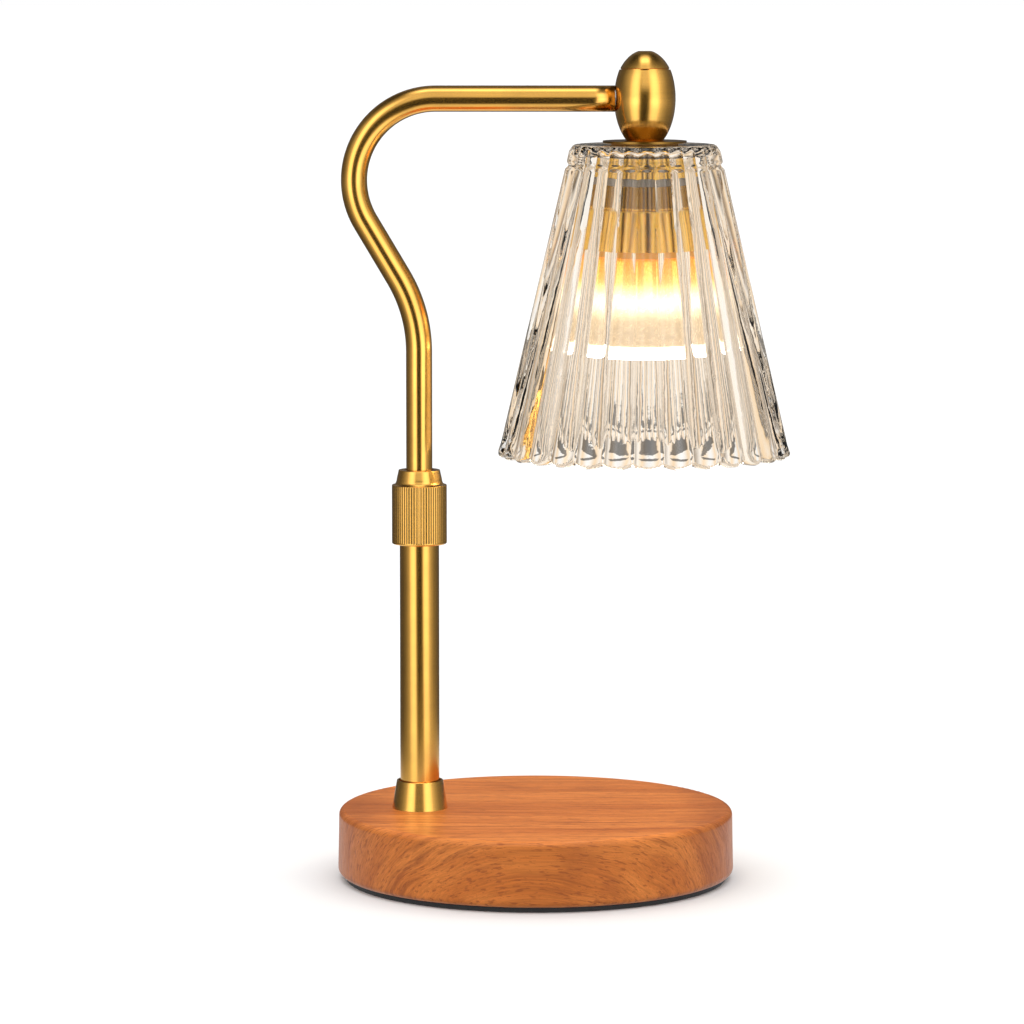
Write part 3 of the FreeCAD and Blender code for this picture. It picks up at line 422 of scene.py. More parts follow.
def wood(finish):
    """Varnished wood cut beside the heart of a log that lies along X, low in front of the disc."""
    material, tree, shader = surface("varnished wood", Coat_Weight=finish.wood_gloss, Coat_Roughness=0.16,
                                     Specular_IOR_Level=0.2)
    place = millimetres(tree)
    heart_y, heart_z = -96.0, -14.0
    wander = add(tree, "TexNoise", {"Vector": stretched(tree, place, 0.35, 1.0, 1.0), "Scale": 0.017,
                                    "Detail": 2.0}).outputs["Color"]
    shift = add(tree, "VectorMath", {0: wander, 1: (0.5, 0.5, 0.5)}, operation="SUBTRACT").outputs[0]
    sway = (26.0, 26.0, 26.0)
    moved = add(tree, "VectorMath", {0: shift, 1: sway, 2: place}, operation="MULTIPLY_ADD").outputs[0]
    x, y, z = split(tree, moved)
    out_y = maths(tree, "SUBTRACT", y, heart_y)
    out_z = maths(tree, "SUBTRACT", z, heart_z)
    ring = distance_from(tree, out_y, out_z)
    turn = maths(tree, "ARCTAN2", out_z, out_y)

    def grain(along, across, round_log, detail, roughness=0.6):
        """A noise with its own scale along the log, across its rings and round it."""
        vector = joined(tree, maths(tree, "MULTIPLY", x, along), maths(tree, "MULTIPLY", ring, across),
                        maths(tree, "MULTIPLY", turn, round_log))
        return noise(tree, vector, 1.0, detail, roughness)

    bands = grain(0.006, 0.11, 1.6, 3.0)
    rings = grain(0.008, 0.42, 2.4, 4.0)
    fibres = grain(0.03, 2.2, 14.0, 4.0, 0.7)
    dashes = grain(0.16, 1.5, 20.0, 2.0, 0.5)
    pores = grain(0.45, 4.5, 90.0, 1.0, 0.5)
    mottle = noise(tree, place, 0.035, 3.0)

    tone = blend(tree, ranged(tree, bands, 0.34, 0.66), finish.wood_light, finish.wood_middle)
    late = maths(tree, "MULTIPLY", ranged(tree, rings, 0.48, 0.72), 0.62)
    tone = blend(tree, late, tone, finish.wood_dark)
    tone = blend(tree, ranged(tree, mottle, 0.58, 0.8, 0.0, 0.45), tone, finish.wood_dark)
    # Painted shade: the disc grows darker towards its left and right ends, where its round side turns from
    # the light.
    ends = ranged(tree, maths(tree, "ABSOLUTE", x), 54.0, 74.0, 0.0, 0.5)
    tone = blend(tree, ends, tone, finish.wood_dark)
    light = ranged(tree, fibres, 0.3, 0.7, 1.14, 0.86)
    tone = blend(tree, 1.0, tone, joined(tree, light, light, light), "MULTIPLY")
    flecks = ranged(tree, dashes, 0.56, 0.68, 0.0, 0.62)
    tone = blend(tree, flecks, tone, finish.wood_dark)
    pits = ranged(tree, pores, 0.66, 0.78, 0.0, 0.6)
    tone = blend(tree, pits, tone, darker(finish.wood_dark, 0.4))

    dips = maths(tree, "ADD", maths(tree, "MULTIPLY", flecks, -0.6), maths(tree, "MULTIPLY", pits, -1.0))
    relief = maths(tree, "ADD", dips, maths(tree, "MULTIPLY", fibres, 0.25))
    connect(tree, shader, Base_Color=tone, Roughness=ranged(tree, fibres, 0.3, 0.7, 0.36, 0.52),
            Normal=bump(tree, relief, 0.05))
    tree.links.new(bump(tree, relief, 0.02), shader.inputs["Coat Normal"])
    return material


def glass(name, tint):
    """Clear pressed glass with a slight wave in its surface. It lets lamp light through."""
    material, tree, shader = surface(name, Base_Color=(*tint, 1.0), Transmission_Weight=1.0, IOR=1.5,
                                     Roughness=0.0)
    place = on_head(tree)
    slow = noise(tree, stretched(tree, place, 1.0, 1.0, 0.35), 0.16, 2.0)
    quick = noise(tree, place, 0.9, 1.0)
    height = maths(tree, "ADD", slow, maths(tree, "MULTIPLY", quick, 0.06))
    connect(tree, shader, Normal=bump(tree, height, 0.10))
    through = add(tree, "BsdfTransparent", {"Color": (*darker(tint, 0.96), 1.0)})
    shadow = add(tree, "LightPath").outputs["Is Shadow Ray"]
    show(tree, add(tree, "MixShader", {0: shadow, 1: shader.outputs[0], 2: through.outputs[0]}))
    return material


def rippled(tree, shader, scale, low, high, depth):
    """Gives the bulb's glass its slight ripple."""
    ripple = noise(tree, on_head(tree), scale, 2.0)
    connect(tree, shader, Roughness=ranged(tree, ripple, 0.3, 0.7, low, high),
            Normal=bump(tree, ripple, depth))
    return ripple


def plain(name, tint, metallic, low, high, scale, depth, spread=0.12, **inputs):
    """A hard material with fine grain: cast, plated, moulded or fired."""
    material, tree, shader = surface(name, Metallic=metallic, **inputs)
    place = millimetres(tree)
    grain = noise(tree, place, scale, 4.0, 0.65)
    clouds = noise(tree, place, scale * 0.08, 2.0)
    tone = blend(tree, ranged(tree, clouds, 0.35, 0.65), tint, darker(tint, 1 - spread))
    tone = blend(tree, ranged(tree, grain, 0.55, 0.8, 0.0, 0.5), tone, darker(tint, 1 - 2 * spread))
    connect(tree, shader, Base_Color=tone, Roughness=ranged(tree, grain, 0.3, 0.7, low, high),
            Normal=bump(tree, grain, depth))
    return material


def dress(material, *nodes):
    """Gives CAD nodes a material."""
    for node in nodes:
        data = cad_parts[node].data
        data.materials.clear()
        data.materials.append(material)


# Pieces

class LAMP_OT_base(bpy.types.Operator):
    """Finishes the wooden disc, its foot pad and what is inside it"""
    bl_idname = "lamp.base"
    bl_label = "Base"

    def execute(self, context):
        finish = context.scene.lamp_finish
        dress(wood(finish), "base_wood")
        dress(plain("foot rubber", finish.rubber, 0.0, 0.55, 0.8, 1.6, 0.05), "foot_pad")
        dress(plain("cast weight", (0.10, 0.10, 0.11), 1.0, 0.45, 0.65, 0.5, 0.05), "ballast_plate")
        dress(plain("moulded grommet", (0.02, 0.019, 0.018), 0.0, 0.4, 0.55, 2.0, 0.02), "cord_grommet")
        sheath = plain("lead sheath", (0.62, 0.60, 0.55), 0.0, 0.35, 0.5, 1.2, 0.02)
        dress(sheath, "base_lead", "arm_lead", "holder_wires")
        self.spare_lead(sheath, context.scene.lamp_metal.travel)
        return {"FINISHED"}

    def spare_lead(self, material, travel):
        """The spare lead in the stem, with two waves from side to side. In the real lamp its waves close up
        as the arm comes down.
        """
        first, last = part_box("lead_slack")
        size = (last.y - first.y) / 2
        swing = (last.x - first.x) / 2 - size
        tall = last.z - first.z
        waves, steps = 2, 60
        mesh = bmesh.new()
        bmesh.ops.create_circle(mesh, segments=16, radius=size)
        bmesh.ops.translate(mesh, verts=mesh.verts, vec=(STEM_X, 0, first.z))
        bmesh.ops.spin(mesh, geom=mesh.verts[:] + mesh.edges[:], cent=ORIGIN, axis=UP,
                       dvec=UP * (tall / steps), angle=0.0, steps=steps)
        bmesh.ops.edgeloop_fill(mesh, edges=[edge for edge in mesh.edges if edge.is_boundary])
        bmesh.ops.recalc_face_normals(mesh, faces=mesh.faces)
        for corner in mesh.verts:
            place = (corner.co.z - first.z) / tall
            fade = smooth_step(5 * min(place, 1 - place))
            corner.co.x += swing * math.sin(2 * waves * math.pi * place) * fade
        lead = finished(mesh, "spare_lead", material, "base", "lead", "lead_slack", crease=60.0)
        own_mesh(lead)


class LAMP_OT_stem(bpy.types.Operator):
    """Finishes the lower tube and its foot, and the fittings inside them"""
    bl_idname = "lamp.stem"
    bl_label = "Stem"

    def execute(self, context):
        finish = context.scene.lamp_finish
        dress(brass("drawn brass", finish, on_stem, "along"), "lower_tube")
        dress(brass("turned brass", finish, on_stem, "round"), "stem_flange", "clamp_collet")
        steel = plain("zinc plated steel", finish.steel, 1.0, 0.28, 0.42, 0.9, 0.015)
        dress(steel, "ballast_screws", "tube_plug", "stem_nipple", "stem_washer", "stem_nut", "guide_rings",
              "arm_spigot", "grub_screw", "hanger_rod", "hanger_nut", "holder_screws")
        dress(plain("nylon", (0.80, 0.79, 0.74), 0.0, 0.35, 0.5, 1.0, 0.02), "guide_bush")
        return {"FINISHED"}


class LAMP_OT_clamp_nut(bpy.types.Operator):
    """Builds the knurled clamp nut with its flared nose"""
    bl_idname = "lamp.clamp_nut"
    bl_label = "Clamp nut"

    def execute(self, context):
        sizes = context.scene.lamp_metal
        low, high = lowest("clamp_nut"), highest("clamp_nut")
        outer = radius("clamp_nut")
        knurl_top = high - sizes.nose_height
        thread = radius("clamp_collet") + 0.05 * MM
        bore = radius("guide_bush") - 0.65 * MM
        top = outer - 2.6 * MM
        waist = outer - 1.9 * MM
        edge = 0.7 * MM
        fade_length = 1.2 * MM
        outline = [(thread, low)]
        outline += arc(outer - edge, low + edge, edge, -90, 0, 4)
        first, last = low + edge + 0.1 * MM, knurl_top - 0.45 * MM
        heights = (first, first + fade_length, last - fade_length, last)
        for start, end in zip(heights, heights[1:]):
            outline += straight((outer, start), (outer, end), 6)
        outline += arc(outer - 0.35 * MM, knurl_top - 0.35 * MM, 0.35 * MM, 0, 90, 3)
        outline += curve((outer - 0.6 * MM, knurl_top), (outer - 1.75 * MM, knurl_top + 0.35 * MM),
                         (waist, knurl_top + 2.3 * MM), 8)
        outline += straight((waist - 0.02 * MM, knurl_top + 2.4 * MM), (top, high - 0.4 * MM), 3)
        outline += arc(top - 0.3 * MM, high - 0.3 * MM, 0.3 * MM, 0, 90, 3)
        outline += [(bore, high), (bore, high - 7.3 * MM), (thread - 1.3 * MM, high - 7.3 * MM),
                    (thread, high - 11.3 * MM)]
        mesh = spun(outline, 6 * sizes.knurl_teeth)
        self.knurl(mesh, sizes, outer, low + edge + sizes.knurl_border, knurl_top - sizes.knurl_border)
        bmesh.ops.translate(mesh, verts=mesh.verts, vec=(STEM_X, 0, 0))
        # The knurl's grooves get painted shade, darker the deeper they are.
        metal = brass("knurled brass", context.scene.lamp_finish, on_stem, "round", 0.04, painted_shade=self.grooves)
        finished(mesh, "knurled_clamp_nut", metal, "clamp", "knurled_brass", "clamp_nut", crease=60.0)
        return {"FINISHED"}

    def knurl(self, mesh, sizes, outer, start, end):
        """Cuts the upright grooves, and keeps how deep each point lies in one."""
        cut = mesh.verts.layers.float.new("groove")
        half_groove = 0.34
        for corner in mesh.verts:
            reach = math.hypot(corner.co.x, corner.co.y)
            if reach > outer - 0.2 * MM and start < corner.co.z < end:
                tooth = (math.atan2(corner.co.y, corner.co.x) * sizes.knurl_teeth / (2 * math.pi)) % 1
                groove = max(0.0, 1 - abs(tooth - 0.5) / half_groove)
                fade = smooth_step(min(corner.co.z - start, end - corner.co.z) / (0.2 * MM))
                corner[cut] = groove * fade
                scale = 1 - sizes.knurl_depth * groove * fade / reach
                corner.co.x *= scale
                corner.co.y *= scale

    def grooves(self, tree):
        """1 at the bottom of a groove, where shade is painted into the knurl."""
        return add(tree, "Attribute", attribute_name="groove").outputs["Fac"]


class LAMP_OT_arm(bpy.types.Operator):
    """Builds the bent arm and finishes the egg over the shade"""
    bl_idname = "lamp.arm"
    bl_label = "Arm and finial"

    def execute(self, context):
        finish = context.scene.lamp_finish
        self.bend_tube(context.scene.lamp_metal, finish)
        turned = brass("turned finial brass", finish, on_head, "round")
        dress(turned, "finial_body")
        self.round_cap(turned)
        dress(brass("dark plate brass", finish, on_head, "round", 0.1, dark=0.65, coat=0.1), "top_plate")
        return {"FINISHED"}

    def tube_radius(self):
        """Half of the arm's thickness."""
        first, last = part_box("arm_tube")
        return (last.y - first.y) / 2

    def bend_tube(self, sizes, finish):
        """The arm, grown ring by ring. Each ring keeps its place on the unbent tube."""
        lean = sizes.lean_angle
        bottom = lowest("arm_tube")
        lean_start = highest("clamp_nut") + sizes.lean_start
        mesh = bmesh.new()
        bmesh.ops.create_circle(mesh, segments=64, radius=self.tube_radius())
        unbent = mesh.verts.layers.float_vector.new("unbent")
        for corner in mesh.verts:
            corner[unbent] = corner.co
        bmesh.ops.translate(mesh, verts=mesh.verts, vec=(STEM_X, 0, bottom))
        ring = mesh.verts[:] + mesh.edges[:]

        def grow(steps, distance, **move):
            """Adds rings along a straight or bent stretch, and keeps each one's place along the tube."""
            nonlocal ring
            for _ in range(steps):
                ring = bmesh.ops.spin(mesh, geom=ring, steps=1, **move)["geom_last"]
                for corner in ring:
                    if isinstance(corner, bmesh.types.BMVert):
                        corner[unbent] += UP * (distance / steps)

        def run(vector, steps):
            """Adds a straight stretch."""
            grow(steps, vector.length, cent=ORIGIN, axis=UP, dvec=vector / steps, angle=0.0)

        def bend(centre, axis, turn, size, steps):
            """Adds a bend round a centre."""
            grow(steps, size * turn, cent=centre, axis=axis, angle=turn / steps)

        run(Vector((0, 0, lean_start - bottom)), 12)
        bend(Vector((STEM_X - sizes.lean_radius, 0, lean_start)), (0, -1, 0), lean, sizes.lean_radius, 24)
        lean_end = Vector((STEM_X - sizes.lean_radius * (1 - math.cos(lean)), 0,
                           lean_start + sizes.lean_radius * math.sin(lean)))
        climb = Vector((-math.sin(lean), 0, math.cos(lean))) * sizes.lean_run
        run(climb, 4)
        centre = lean_end + climb + Vector((math.cos(lean), 0, math.sin(lean))) * sizes.crook_radius
        bend(centre, (0, 1, 0), math.pi / 2 + lean, sizes.crook_radius, 64)
        run(Vector((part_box("arm_tube")[1].x - centre.x, 0, 0)), 8)
        bmesh.ops.recalc_face_normals(mesh, faces=mesh.faces)
        tip = max(corner[unbent].z for corner in mesh.verts) / MM

        def on_tube(tree):
            """Places in millimetres on the unbent tube."""
            return millimetres(tree, attribute="unbent")

        def shaded_end(tree):
            """1 on the last two millimetres of the arm, which lie in the shade of the egg."""
            return ranged(tree, split(tree, on_tube(tree))[2], tip - 2.2, tip - 1.2)

        # Painted shade on the end of the arm, under the egg.
        metal = brass("drawn arm brass", finish, on_tube, "along", painted_shade=shaded_end)
        tube = finished(mesh, "bent_arm", metal, "arm", "brass", "arm_tube")
        wall = tube.modifiers.new("wall", "SOLIDIFY")
        wall.thickness = sizes.arm_wall
        wall.offset = -1.0

    def round_cap(self, metal):
        """The top of the egg, from its seam up to the small flat crown."""
        centre = (highest("arm_tube") - self.tube_radius()) / MM
        seam, top = highest("finial_body") / MM + 0.25, highest("finial_cap") / MM
        wide, tall = 1.038 * radius("finial_body") / MM, 18.72
        start, end = (math.asin((height - centre) / tall) for height in (seam + 0.3, top))
        foot = wide * math.cos(start) - 0.3
        outline = [(0, seam - 0.24), (foot, seam - 0.24), (foot, seam + 0.05)]
        steps = 14
        for number in range(steps + 1):
            angle = start + (end - start) * number / steps
            outline.append((wide * math.cos(angle), centre + tall * math.sin(angle)))
        outline.append((0, top))
        mesh = spun([(r * MM, z * MM) for r, z in outline], 96, closed=False)
        bmesh.ops.translate(mesh, verts=mesh.verts, vec=(HEAD_X, 0, 0))
        finished(mesh, "rounded_finial_cap", metal, "arm", "brass", "finial_cap", crease=50.0)


class LAMP_OT_glass_shade(bpy.types.Operator):
    """Builds the ribbed glass shade with its domed rib ends"""
    bl_idname = "lamp.glass_shade"
    bl_label = "Glass shade"

    def execute(self, context):
        sizes = context.scene.lamp_glass
        low, top = lowest("glass_shade"), highest("glass_shade")
        rim = radius("glass_shade")
        shoulder = top - sizes.shoulder_drop
        crown = sizes.top_radius - sizes.top_round
        inner_rim = rim - sizes.rim_rib - sizes.rim_wall
        inner_neck = sizes.shoulder_radius - 1.0 * MM - sizes.neck_wall
        roof = top - sizes.roof
        thin = roof + 1.6 * MM
        edge = sizes.rim_round
        inside_edge = 0.9 * MM

        outline = straight((sizes.hole, top), (crown, top), 6)
        outline += arc(crown, top - sizes.top_round, sizes.top_round, 90, 0, 6)
        slope = (rim - sizes.shoulder_radius) / (shoulder - low)
        fine = 4 * MM
        under = (sizes.shoulder_radius + fine * slope, shoulder - fine)
        outline += straight((sizes.top_radius + 0.02 * MM, top - sizes.top_round - 0.2 * MM),
                            (sizes.shoulder_radius, shoulder), 16)
        outline += straight((sizes.shoulder_radius, shoulder), under, 12)
        outline += straight(under, (rim - 0.4 * MM, low + edge + 0.2 * MM), 36)
        outline += arc(rim - edge, low + edge, edge, 0, -90, 6)
        outline += arc(inner_rim + inside_edge, low + inside_edge, inside_edge, -90, -180, 4)
        outline += straight((inner_rim - 0.1 * MM, low + inside_edge + 0.4 * MM), (inner_neck, shoulder), 24)
        outline += straight((inner_neck, shoulder), (inner_neck, thin - sizes.top_round), 2)
        outline += arc(inner_neck - sizes.top_round, thin - sizes.top_round, sizes.top_round, 0, 90, 5)
        outline += curve((inner_neck - sizes.top_round - 0.2 * MM, thin), (19.0 * MM, thin),
                         (17.8 * MM, roof), 5)
        outline += [(sizes.hole, roof)]
        mesh = spun(outline, 12 * sizes.ribs)

        for corner in mesh.verts:
            self.shape(corner, sizes, low, top, shoulder, inner_rim, inner_neck)
        bmesh.ops.translate(mesh, verts=mesh.verts, vec=(HEAD_X, 0, 0))
        clear = glass("pressed glass", context.scene.lamp_finish.glass)
        finished(mesh, "ribbed_glass_shade", clear, "arm", "shade_glass", "glass_shade", crease=80.0)
        gasket = plain("amber gasket", (0.80, 0.42, 0.09), 0.0, 0.3, 0.45, 1.2, 0.02)
        dress(gasket, "top_gasket", "inner_gasket")
        return {"FINISHED"}

    def shape(self, corner, sizes, low, top, shoulder, inner_rim, inner_neck):
        """Moves a point of the round shell to its place on the ribs or the scalloped rim."""
        reach = math.hypot(corner.co.x, corner.co.y)
        angle = math.atan2(corner.co.y, corner.co.x) + math.pi / 2
        across = ((angle * sizes.ribs / (2 * math.pi) + 0.5) % 1) * 2 - 1
        valley = across * across
        height = corner.co.z
        if height >= shoulder:
            wall = inner_neck
            depth = sizes.neck_rib
        else:
            down = (shoulder - height) / (shoulder - low)
            wall = inner_neck + (inner_rim - inner_neck) * down
            depth = sizes.neck_rib + (sizes.rim_rib - sizes.neck_rib) * down
        outside = smooth_step((reach - wall) / (1.5 * MM) - 0.6)
        if height > top - 0.5 * MM:
            outside *= smooth_step((reach - (sizes.top_radius - 7 * MM)) / (4 * MM))
        lower = 1 - smooth_step(abs(height - shoulder) / (1.7 * MM))
        upper = smooth_step((height - (top - 3.4 * MM)) / (1.8 * MM))
        sunk = valley + (1 - valley) * max(0.6 * lower, 0.2 * upper)
        scale = 1 - depth * sunk * outside / max(reach, MM)
        corner.co.x *= scale
        corner.co.y *= scale
        rise = 1 - smooth_step((height - low) / (9 * MM))
        corner.co.z += sizes.scallop * valley * rise


class LAMP_OT_neck(bpy.types.Operator):
    """Finishes the cap, the ring nut, the cup and the lamp holder under the glass"""
    bl_idname = "lamp.neck"
    bl_label = "Neck parts"

    def execute(self, context):
        finish = context.scene.lamp_finish
        dress(brass("spun brass", finish, on_head, "round", 0.02, dark=-0.05, coat=0.0,
                    tint=finish.lit_brass), "neck_cap")
        # The cup's narrow neck is painted darker, a painted dark reflection.
        dress(brass("stepped cup brass", finish, on_head, "round", dark=-0.05, coat=0.0, painted_shade=self.cup_neck,
                    tint=finish.lit_brass), "holder_cup")
        dress(plain("plated ring", (0.42, 0.42, 0.43), 1.0, 0.35, 0.55, 1.4, 0.12), "shade_ring_nut")
        dress(plain("glazed ceramic", finish.ceramic, 0.0, 0.25, 0.4, 0.6, 0.02, 0.06, Coat_Weight=0.3),
              "lamp_holder")
        dress(plain("lit ceramic", (0.80, 0.44, 0.12), 0.0, 0.25, 0.4, 0.6, 0.02, 0.06,
                    Emission_Color=(0.90, 0.45, 0.08, 1.0), Emission_Strength=0.4), "bulb_base")
        dress(plain("nickel contacts", (0.66, 0.62, 0.55), 1.0, 0.2, 0.32, 1.5, 0.01), "holder_contacts",
              "bulb_pins")
        return {"FINISHED"}

    def cup_neck(self, tree):
        """1 on the narrow neck of the cup, 0 on the wide part. The neck gets a painted dark reflection."""
        height = split(tree, millimetres(tree))[2]
        neck_height = 9.0
        step = highest("holder_cup") / MM - neck_height
        return ranged(tree, height, step + 0.1, step + 0.9)


class LAMP_OT_bulb(bpy.types.Operator):
    """Lights the reflector bulb"""
    bl_idname = "lamp.bulb"
    bl_label = "Bulb"

    def execute(self, context):
        glow = context.scene.lamp_glow
        dress(self.capsule(glow), "bulb_capsule", "bulb_filament")
        dress(self.front_glass(glow), "bulb_lens")
        dress(self.leaking(glow), "bulb_reflector")
        return {"FINISHED"}

    def capsule(self, glow):
        """The glowing capsule and its filament."""
        material, tree, shader = surface("lit capsule", Emission_Color=(*glow.warm, 1.0),
                                         Emission_Strength=glow.capsule)
        rippled(tree, shader, 0.8, 0.12, 0.3, 0.08)
        return material

    def front_glass(self, glow):
        """Lit front glass: brightest below, bright round its rim, and dim on the side inside the bulb."""
        material, tree, shader = surface("lit front glass", Base_Color=(0.9, 0.86, 0.78, 1.0),
                                         Emission_Color=(*glow.pale, 1.0))
        x, y, height = split(tree, on_head(tree))
        reach = distance_from(tree, x, y)
        low = lowest("bulb_lens") / MM
        edge = radius("bulb_lens") / MM - 2.3
        above = ranged(tree, height, low + 0.8, low + 1.6)
        inside = maths(tree, "MULTIPLY", ranged(tree, reach, edge - 0.1, edge + 0.1, 1.0, 0.0), above)
        level = ranged(tree, above, 0.0, 1.0, glow.lens, glow.rim)
        connect(tree, shader, Emission_Strength=ranged(tree, inside, 0.0, 1.0, level, 0.15))
        rippled(tree, shader, 0.8, 0.12, 0.3, 0.08)
        return material

    def leaking(self, glow):
        """Mirrored glass that lets warm light through: amber at its neck, white round the capsule, and
        dimmer at its foot."""
        material, tree, shader = surface("leaking reflector", IOR=1.3, Transmission_Weight=0.5)
        foot, tall = lowest("bulb_reflector") / MM, 33.0
        height = ranged(tree, split(tree, on_head(tree))[2], foot, foot + tall)
        ripple = rippled(tree, shader, 0.5, 0.16, 0.3, 0.1)
        leaked = maths(tree, "MULTIPLY", ranged(tree, ripple, 0.3, 0.7, 0.85, 1.15), glow.bell)
        connect(tree, shader, Base_Color=ramp(tree, height, MIRROR), Emission_Color=ramp(tree, height, LEAK),
                Emission_Strength=leaked)
        return material


class LAMP_OT_stage(bpy.types.Operator):
    """Sets the floor, the light and the camera"""
    bl_idname = "lamp.stage"
    bl_label = "Studio"

    def execute(self, context):
        studio = context.scene.lamp_studio
        self.add_camera(context.scene, studio)
        self.add_floor(context.scene, studio)
        self.add_light(context.scene, studio)
        context.scene.view_settings.view_transform = "Standard"
        return {"FINISHED"}

    def add_camera(self, scene, studio):
        """A long lens in front of the lamp, a little above it."""
        data = bpy.data.cameras.new("camera")
        data.lens = studio.lens
        camera = bpy.data.objects.new("camera", data)
        camera.location = (studio.camera_x, studio.camera_y, studio.camera_z)
        camera.rotation_euler = (math.pi / 2 - studio.pitch, 0, 0)
        data.clip_end = 200.0
        scene.collection.objects.link(camera)
        scene.camera = camera

    def soft_boxes(self, tree, x, y):
        """What an upright surface mirrors from each heading: dark in front, bright to both sides, and
        dim behind."""
        turn = maths(tree, "ARCTAN2", x, maths(tree, "MULTIPLY", y, -1.0))
        place = maths(tree, "DIVIDE", maths(tree, "ADD", turn, math.pi), 2 * math.pi)
        return ramp(tree, place, [((degrees + 180) / 360, (value, value, value)) for degrees, value in BOXES])

    def behind_glass(self, tree, x, y):
        """What the glass shows from each heading: white, cream and dark strips."""
        turn = maths(tree, "ABSOLUTE", maths(tree, "ARCTAN2", x, y))
        return ramp(tree, maths(tree, "DIVIDE", turn, math.pi), STRIPS)

    def add_floor(self, scene, studio):
        """The pale floor. The brass mirrors soft boxes in it, and the glass shows strips of light."""
        mesh = bmesh.new()
        bmesh.ops.create_grid(mesh, x_segments=2, y_segments=2, size=studio.floor_size / 2)
        data = bpy.data.meshes.new("floor")
        mesh.to_mesh(data)
        mesh.free()
        floor = bpy.data.objects.new("floor", data)
        scene.collection.objects.link(floor)
        material, tree, shader = surface("pale floor", Roughness=0.9, Specular_IOR_Level=0.1)
        place = add(tree, "TexCoord").outputs["Object"]
        x, y, _ = split(tree, place)
        distance = add(tree, "VectorMath", {0: place}, operation="LENGTH").outputs["Value"]
        far = ranged(tree, distance, 0.15, 0.42)
        gain = maths(tree, "MULTIPLY", ranged(tree, distance, 0.6, 2.8, 1.0, 1.45), studio.softbox)
        boxes = maths(tree, "MULTIPLY", self.soft_boxes(tree, x, y), gain)
        near = ranged(tree, far, 0.0, 1.0, 0.95, 0.0)
        mirrored = maths(tree, "ADD", maths(tree, "MULTIPLY", boxes, far), near)
        path = add(tree, "LightPath").outputs
        seen, spread = (0.74, 0.74, 0.74), (0.42, 0.42, 0.42)
        connect(tree, shader, Base_Color=blend(tree, path["Is Diffuse Ray"], seen, spread))
        mirror = add(tree, "Emission", {"Strength": mirrored}).outputs[0]
        # Painted reflection: a dark patch that only rays through the glass see.
        card = maths(tree, "MULTIPLY", self.painted_dark_card(tree, x, y), 0.85)
        strips = blend(tree, card, self.behind_glass(tree, x, y), (0.05, 0.045, 0.04))
        shown = add(tree, "Emission", {"Color": strips}).outputs[0]
        glossy = add(tree, "MixShader", {0: path["Is Glossy Ray"], 1: shader.outputs[0], 2: mirror})
        show(tree, add(tree, "MixShader", {0: path["Is Transmission Ray"], 1: glossy.outputs[0], 2: shown}))
        material.cycles.emission_sampling = "NONE"
        data.materials.append(material)

    def painted_dark_card(self, tree, x, y):
        """1 on a dark patch behind the shade that only rays through the glass meet. It paints dark
        reflections into the rib ends at the rim.
        """
        across = maths(tree, "ABSOLUTE", maths(tree, "SUBTRACT", x, HEAD_X))
        ends = maths(tree, "MULTIPLY", ranged(tree, y, 1.36, 1.38), ranged(tree, y, 1.76, 1.80, 1.0, 0.0))
        return maths(tree, "MULTIPLY", ranged(tree, across, 0.28, 0.34, 1.0, 0.0), ends)

    def add_light(self, scene, studio):
        """Even light from above, with soft boxes for the brass and strips for the glass."""
        world = bpy.data.worlds.new("studio light")
        scene.world = world
        world.use_nodes = True
        world.cycles.sampling_method = "NONE"
        tree = world.node_tree
        tree.nodes.clear()
        heading = add(tree, "TexCoord").outputs["Generated"]
        x, y, z = split(tree, heading)
        boxes = maths(tree, "MULTIPLY", self.soft_boxes(tree, x, y), 1.15 * studio.softbox)
        boxes = maths(tree, "MULTIPLY", boxes, ranged(tree, z, 0.5, 0.85, 1.0, 0.2))
        frontal = ranged(tree, y, -0.25, 0.35, 1.0, 0.12)
        roof = maths(tree, "ADD", ranged(tree, z, 0.08, 0.36, 0.0, 0.9), ranged(tree, z, 0.9, 0.98, 0.0, 1.6))
        narrow = ranged(tree, maths(tree, "ABSOLUTE", x), 0.14, 0.42, 1.0, 0.15)
        roof = maths(tree, "MULTIPLY", roof, narrow)
        mirrored = maths(tree, "ADD", boxes, maths(tree, "MULTIPLY", roof, frontal))
        path = add(tree, "LightPath").outputs
        even = maths(tree, "ADD", maths(tree, "MULTIPLY", maths(tree, "MAXIMUM", z, 0.0), studio.overhead),
                     studio.fill)
        level = self.grey(tree, even)
        level = blend(tree, path["Is Glossy Ray"], level, self.grey(tree, mirrored))
        level = blend(tree, path["Is Transmission Ray"], level, self.behind_glass(tree, x, y))
        level = blend(tree, path["Is Camera Ray"], level, (1.0, 1.0, 1.0))
        backdrop = add(tree, "Background", {"Color": level})
        output = add(tree, "OutputWorld")
        tree.links.new(backdrop.outputs[0], output.inputs["Surface"])

    def grey(self, tree, value):
        """A grey from a brightness."""
        return joined(tree, value, value, value)


class LAMP_PT_sidebar(bpy.types.Panel):
    """Sizes, finishes and building steps of the lamp"""
    bl_idname = "LAMP_PT_sidebar"
    bl_label = "Candle warmer lamp"
    bl_space_type = "VIEW_3D"
    bl_region_type = "UI"
    bl_category = "Lamp"

    def draw(self, context):
        for step in STEPS:
            self.layout.operator(step.bl_idname)
        for group, place in GROUPS.items():
            settings = getattr(context.scene, place)
            box = self.layout.box()
            box.label(text=group.__doc__)
            for name in group.__annotations__:
                box.prop(settings, name)


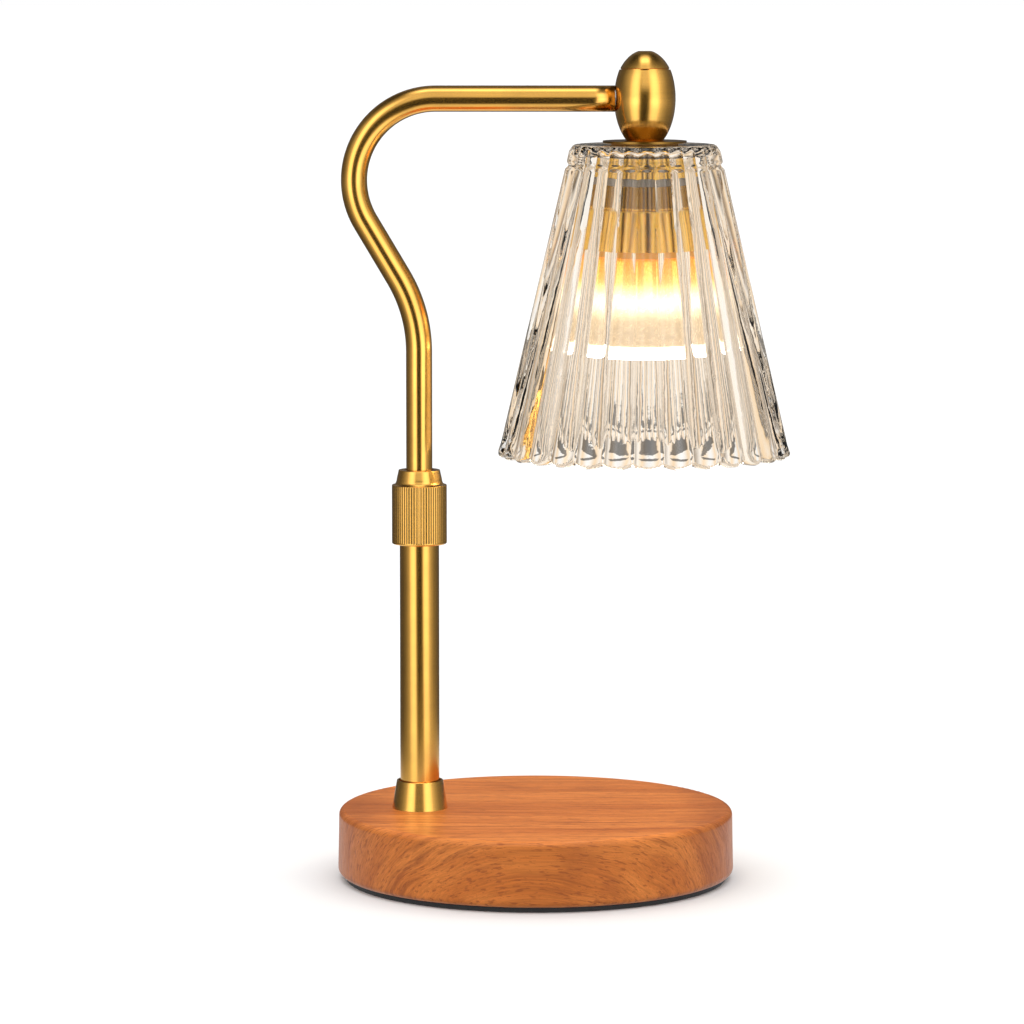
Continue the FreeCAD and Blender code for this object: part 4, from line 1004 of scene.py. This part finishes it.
GROUPS = {LampGlassSizes: "lamp_glass", LampMetalSizes: "lamp_metal", LampFinish: "lamp_finish",
          LampGlow: "lamp_glow", LampStudio: "lamp_studio"}
STEPS = (LAMP_OT_base, LAMP_OT_stem, LAMP_OT_clamp_nut, LAMP_OT_arm, LAMP_OT_glass_shade, LAMP_OT_neck,
         LAMP_OT_bulb, LAMP_OT_stage)


def register():
    for group, name in GROUPS.items():
        bpy.utils.register_class(group)
        setattr(bpy.types.Scene, name, PointerProperty(type=group))
    for step in STEPS:
        bpy.utils.register_class(step)
    bpy.utils.register_class(LAMP_PT_sidebar)


def unregister():
    bpy.utils.unregister_class(LAMP_PT_sidebar)
    for step in reversed(STEPS):
        bpy.utils.unregister_class(step)
    for group, name in GROUPS.items():
        delattr(bpy.types.Scene, name)
        bpy.utils.unregister_class(group)


def main():
    register()
    bpy.ops.lamp.base()
    bpy.ops.lamp.stem()
    bpy.ops.lamp.clamp_nut()
    bpy.ops.lamp.arm()
    bpy.ops.lamp.glass_shade()
    bpy.ops.lamp.neck()
    bpy.ops.lamp.bulb()
    bpy.ops.lamp.stage()


if __name__ == "__main__":
    main()
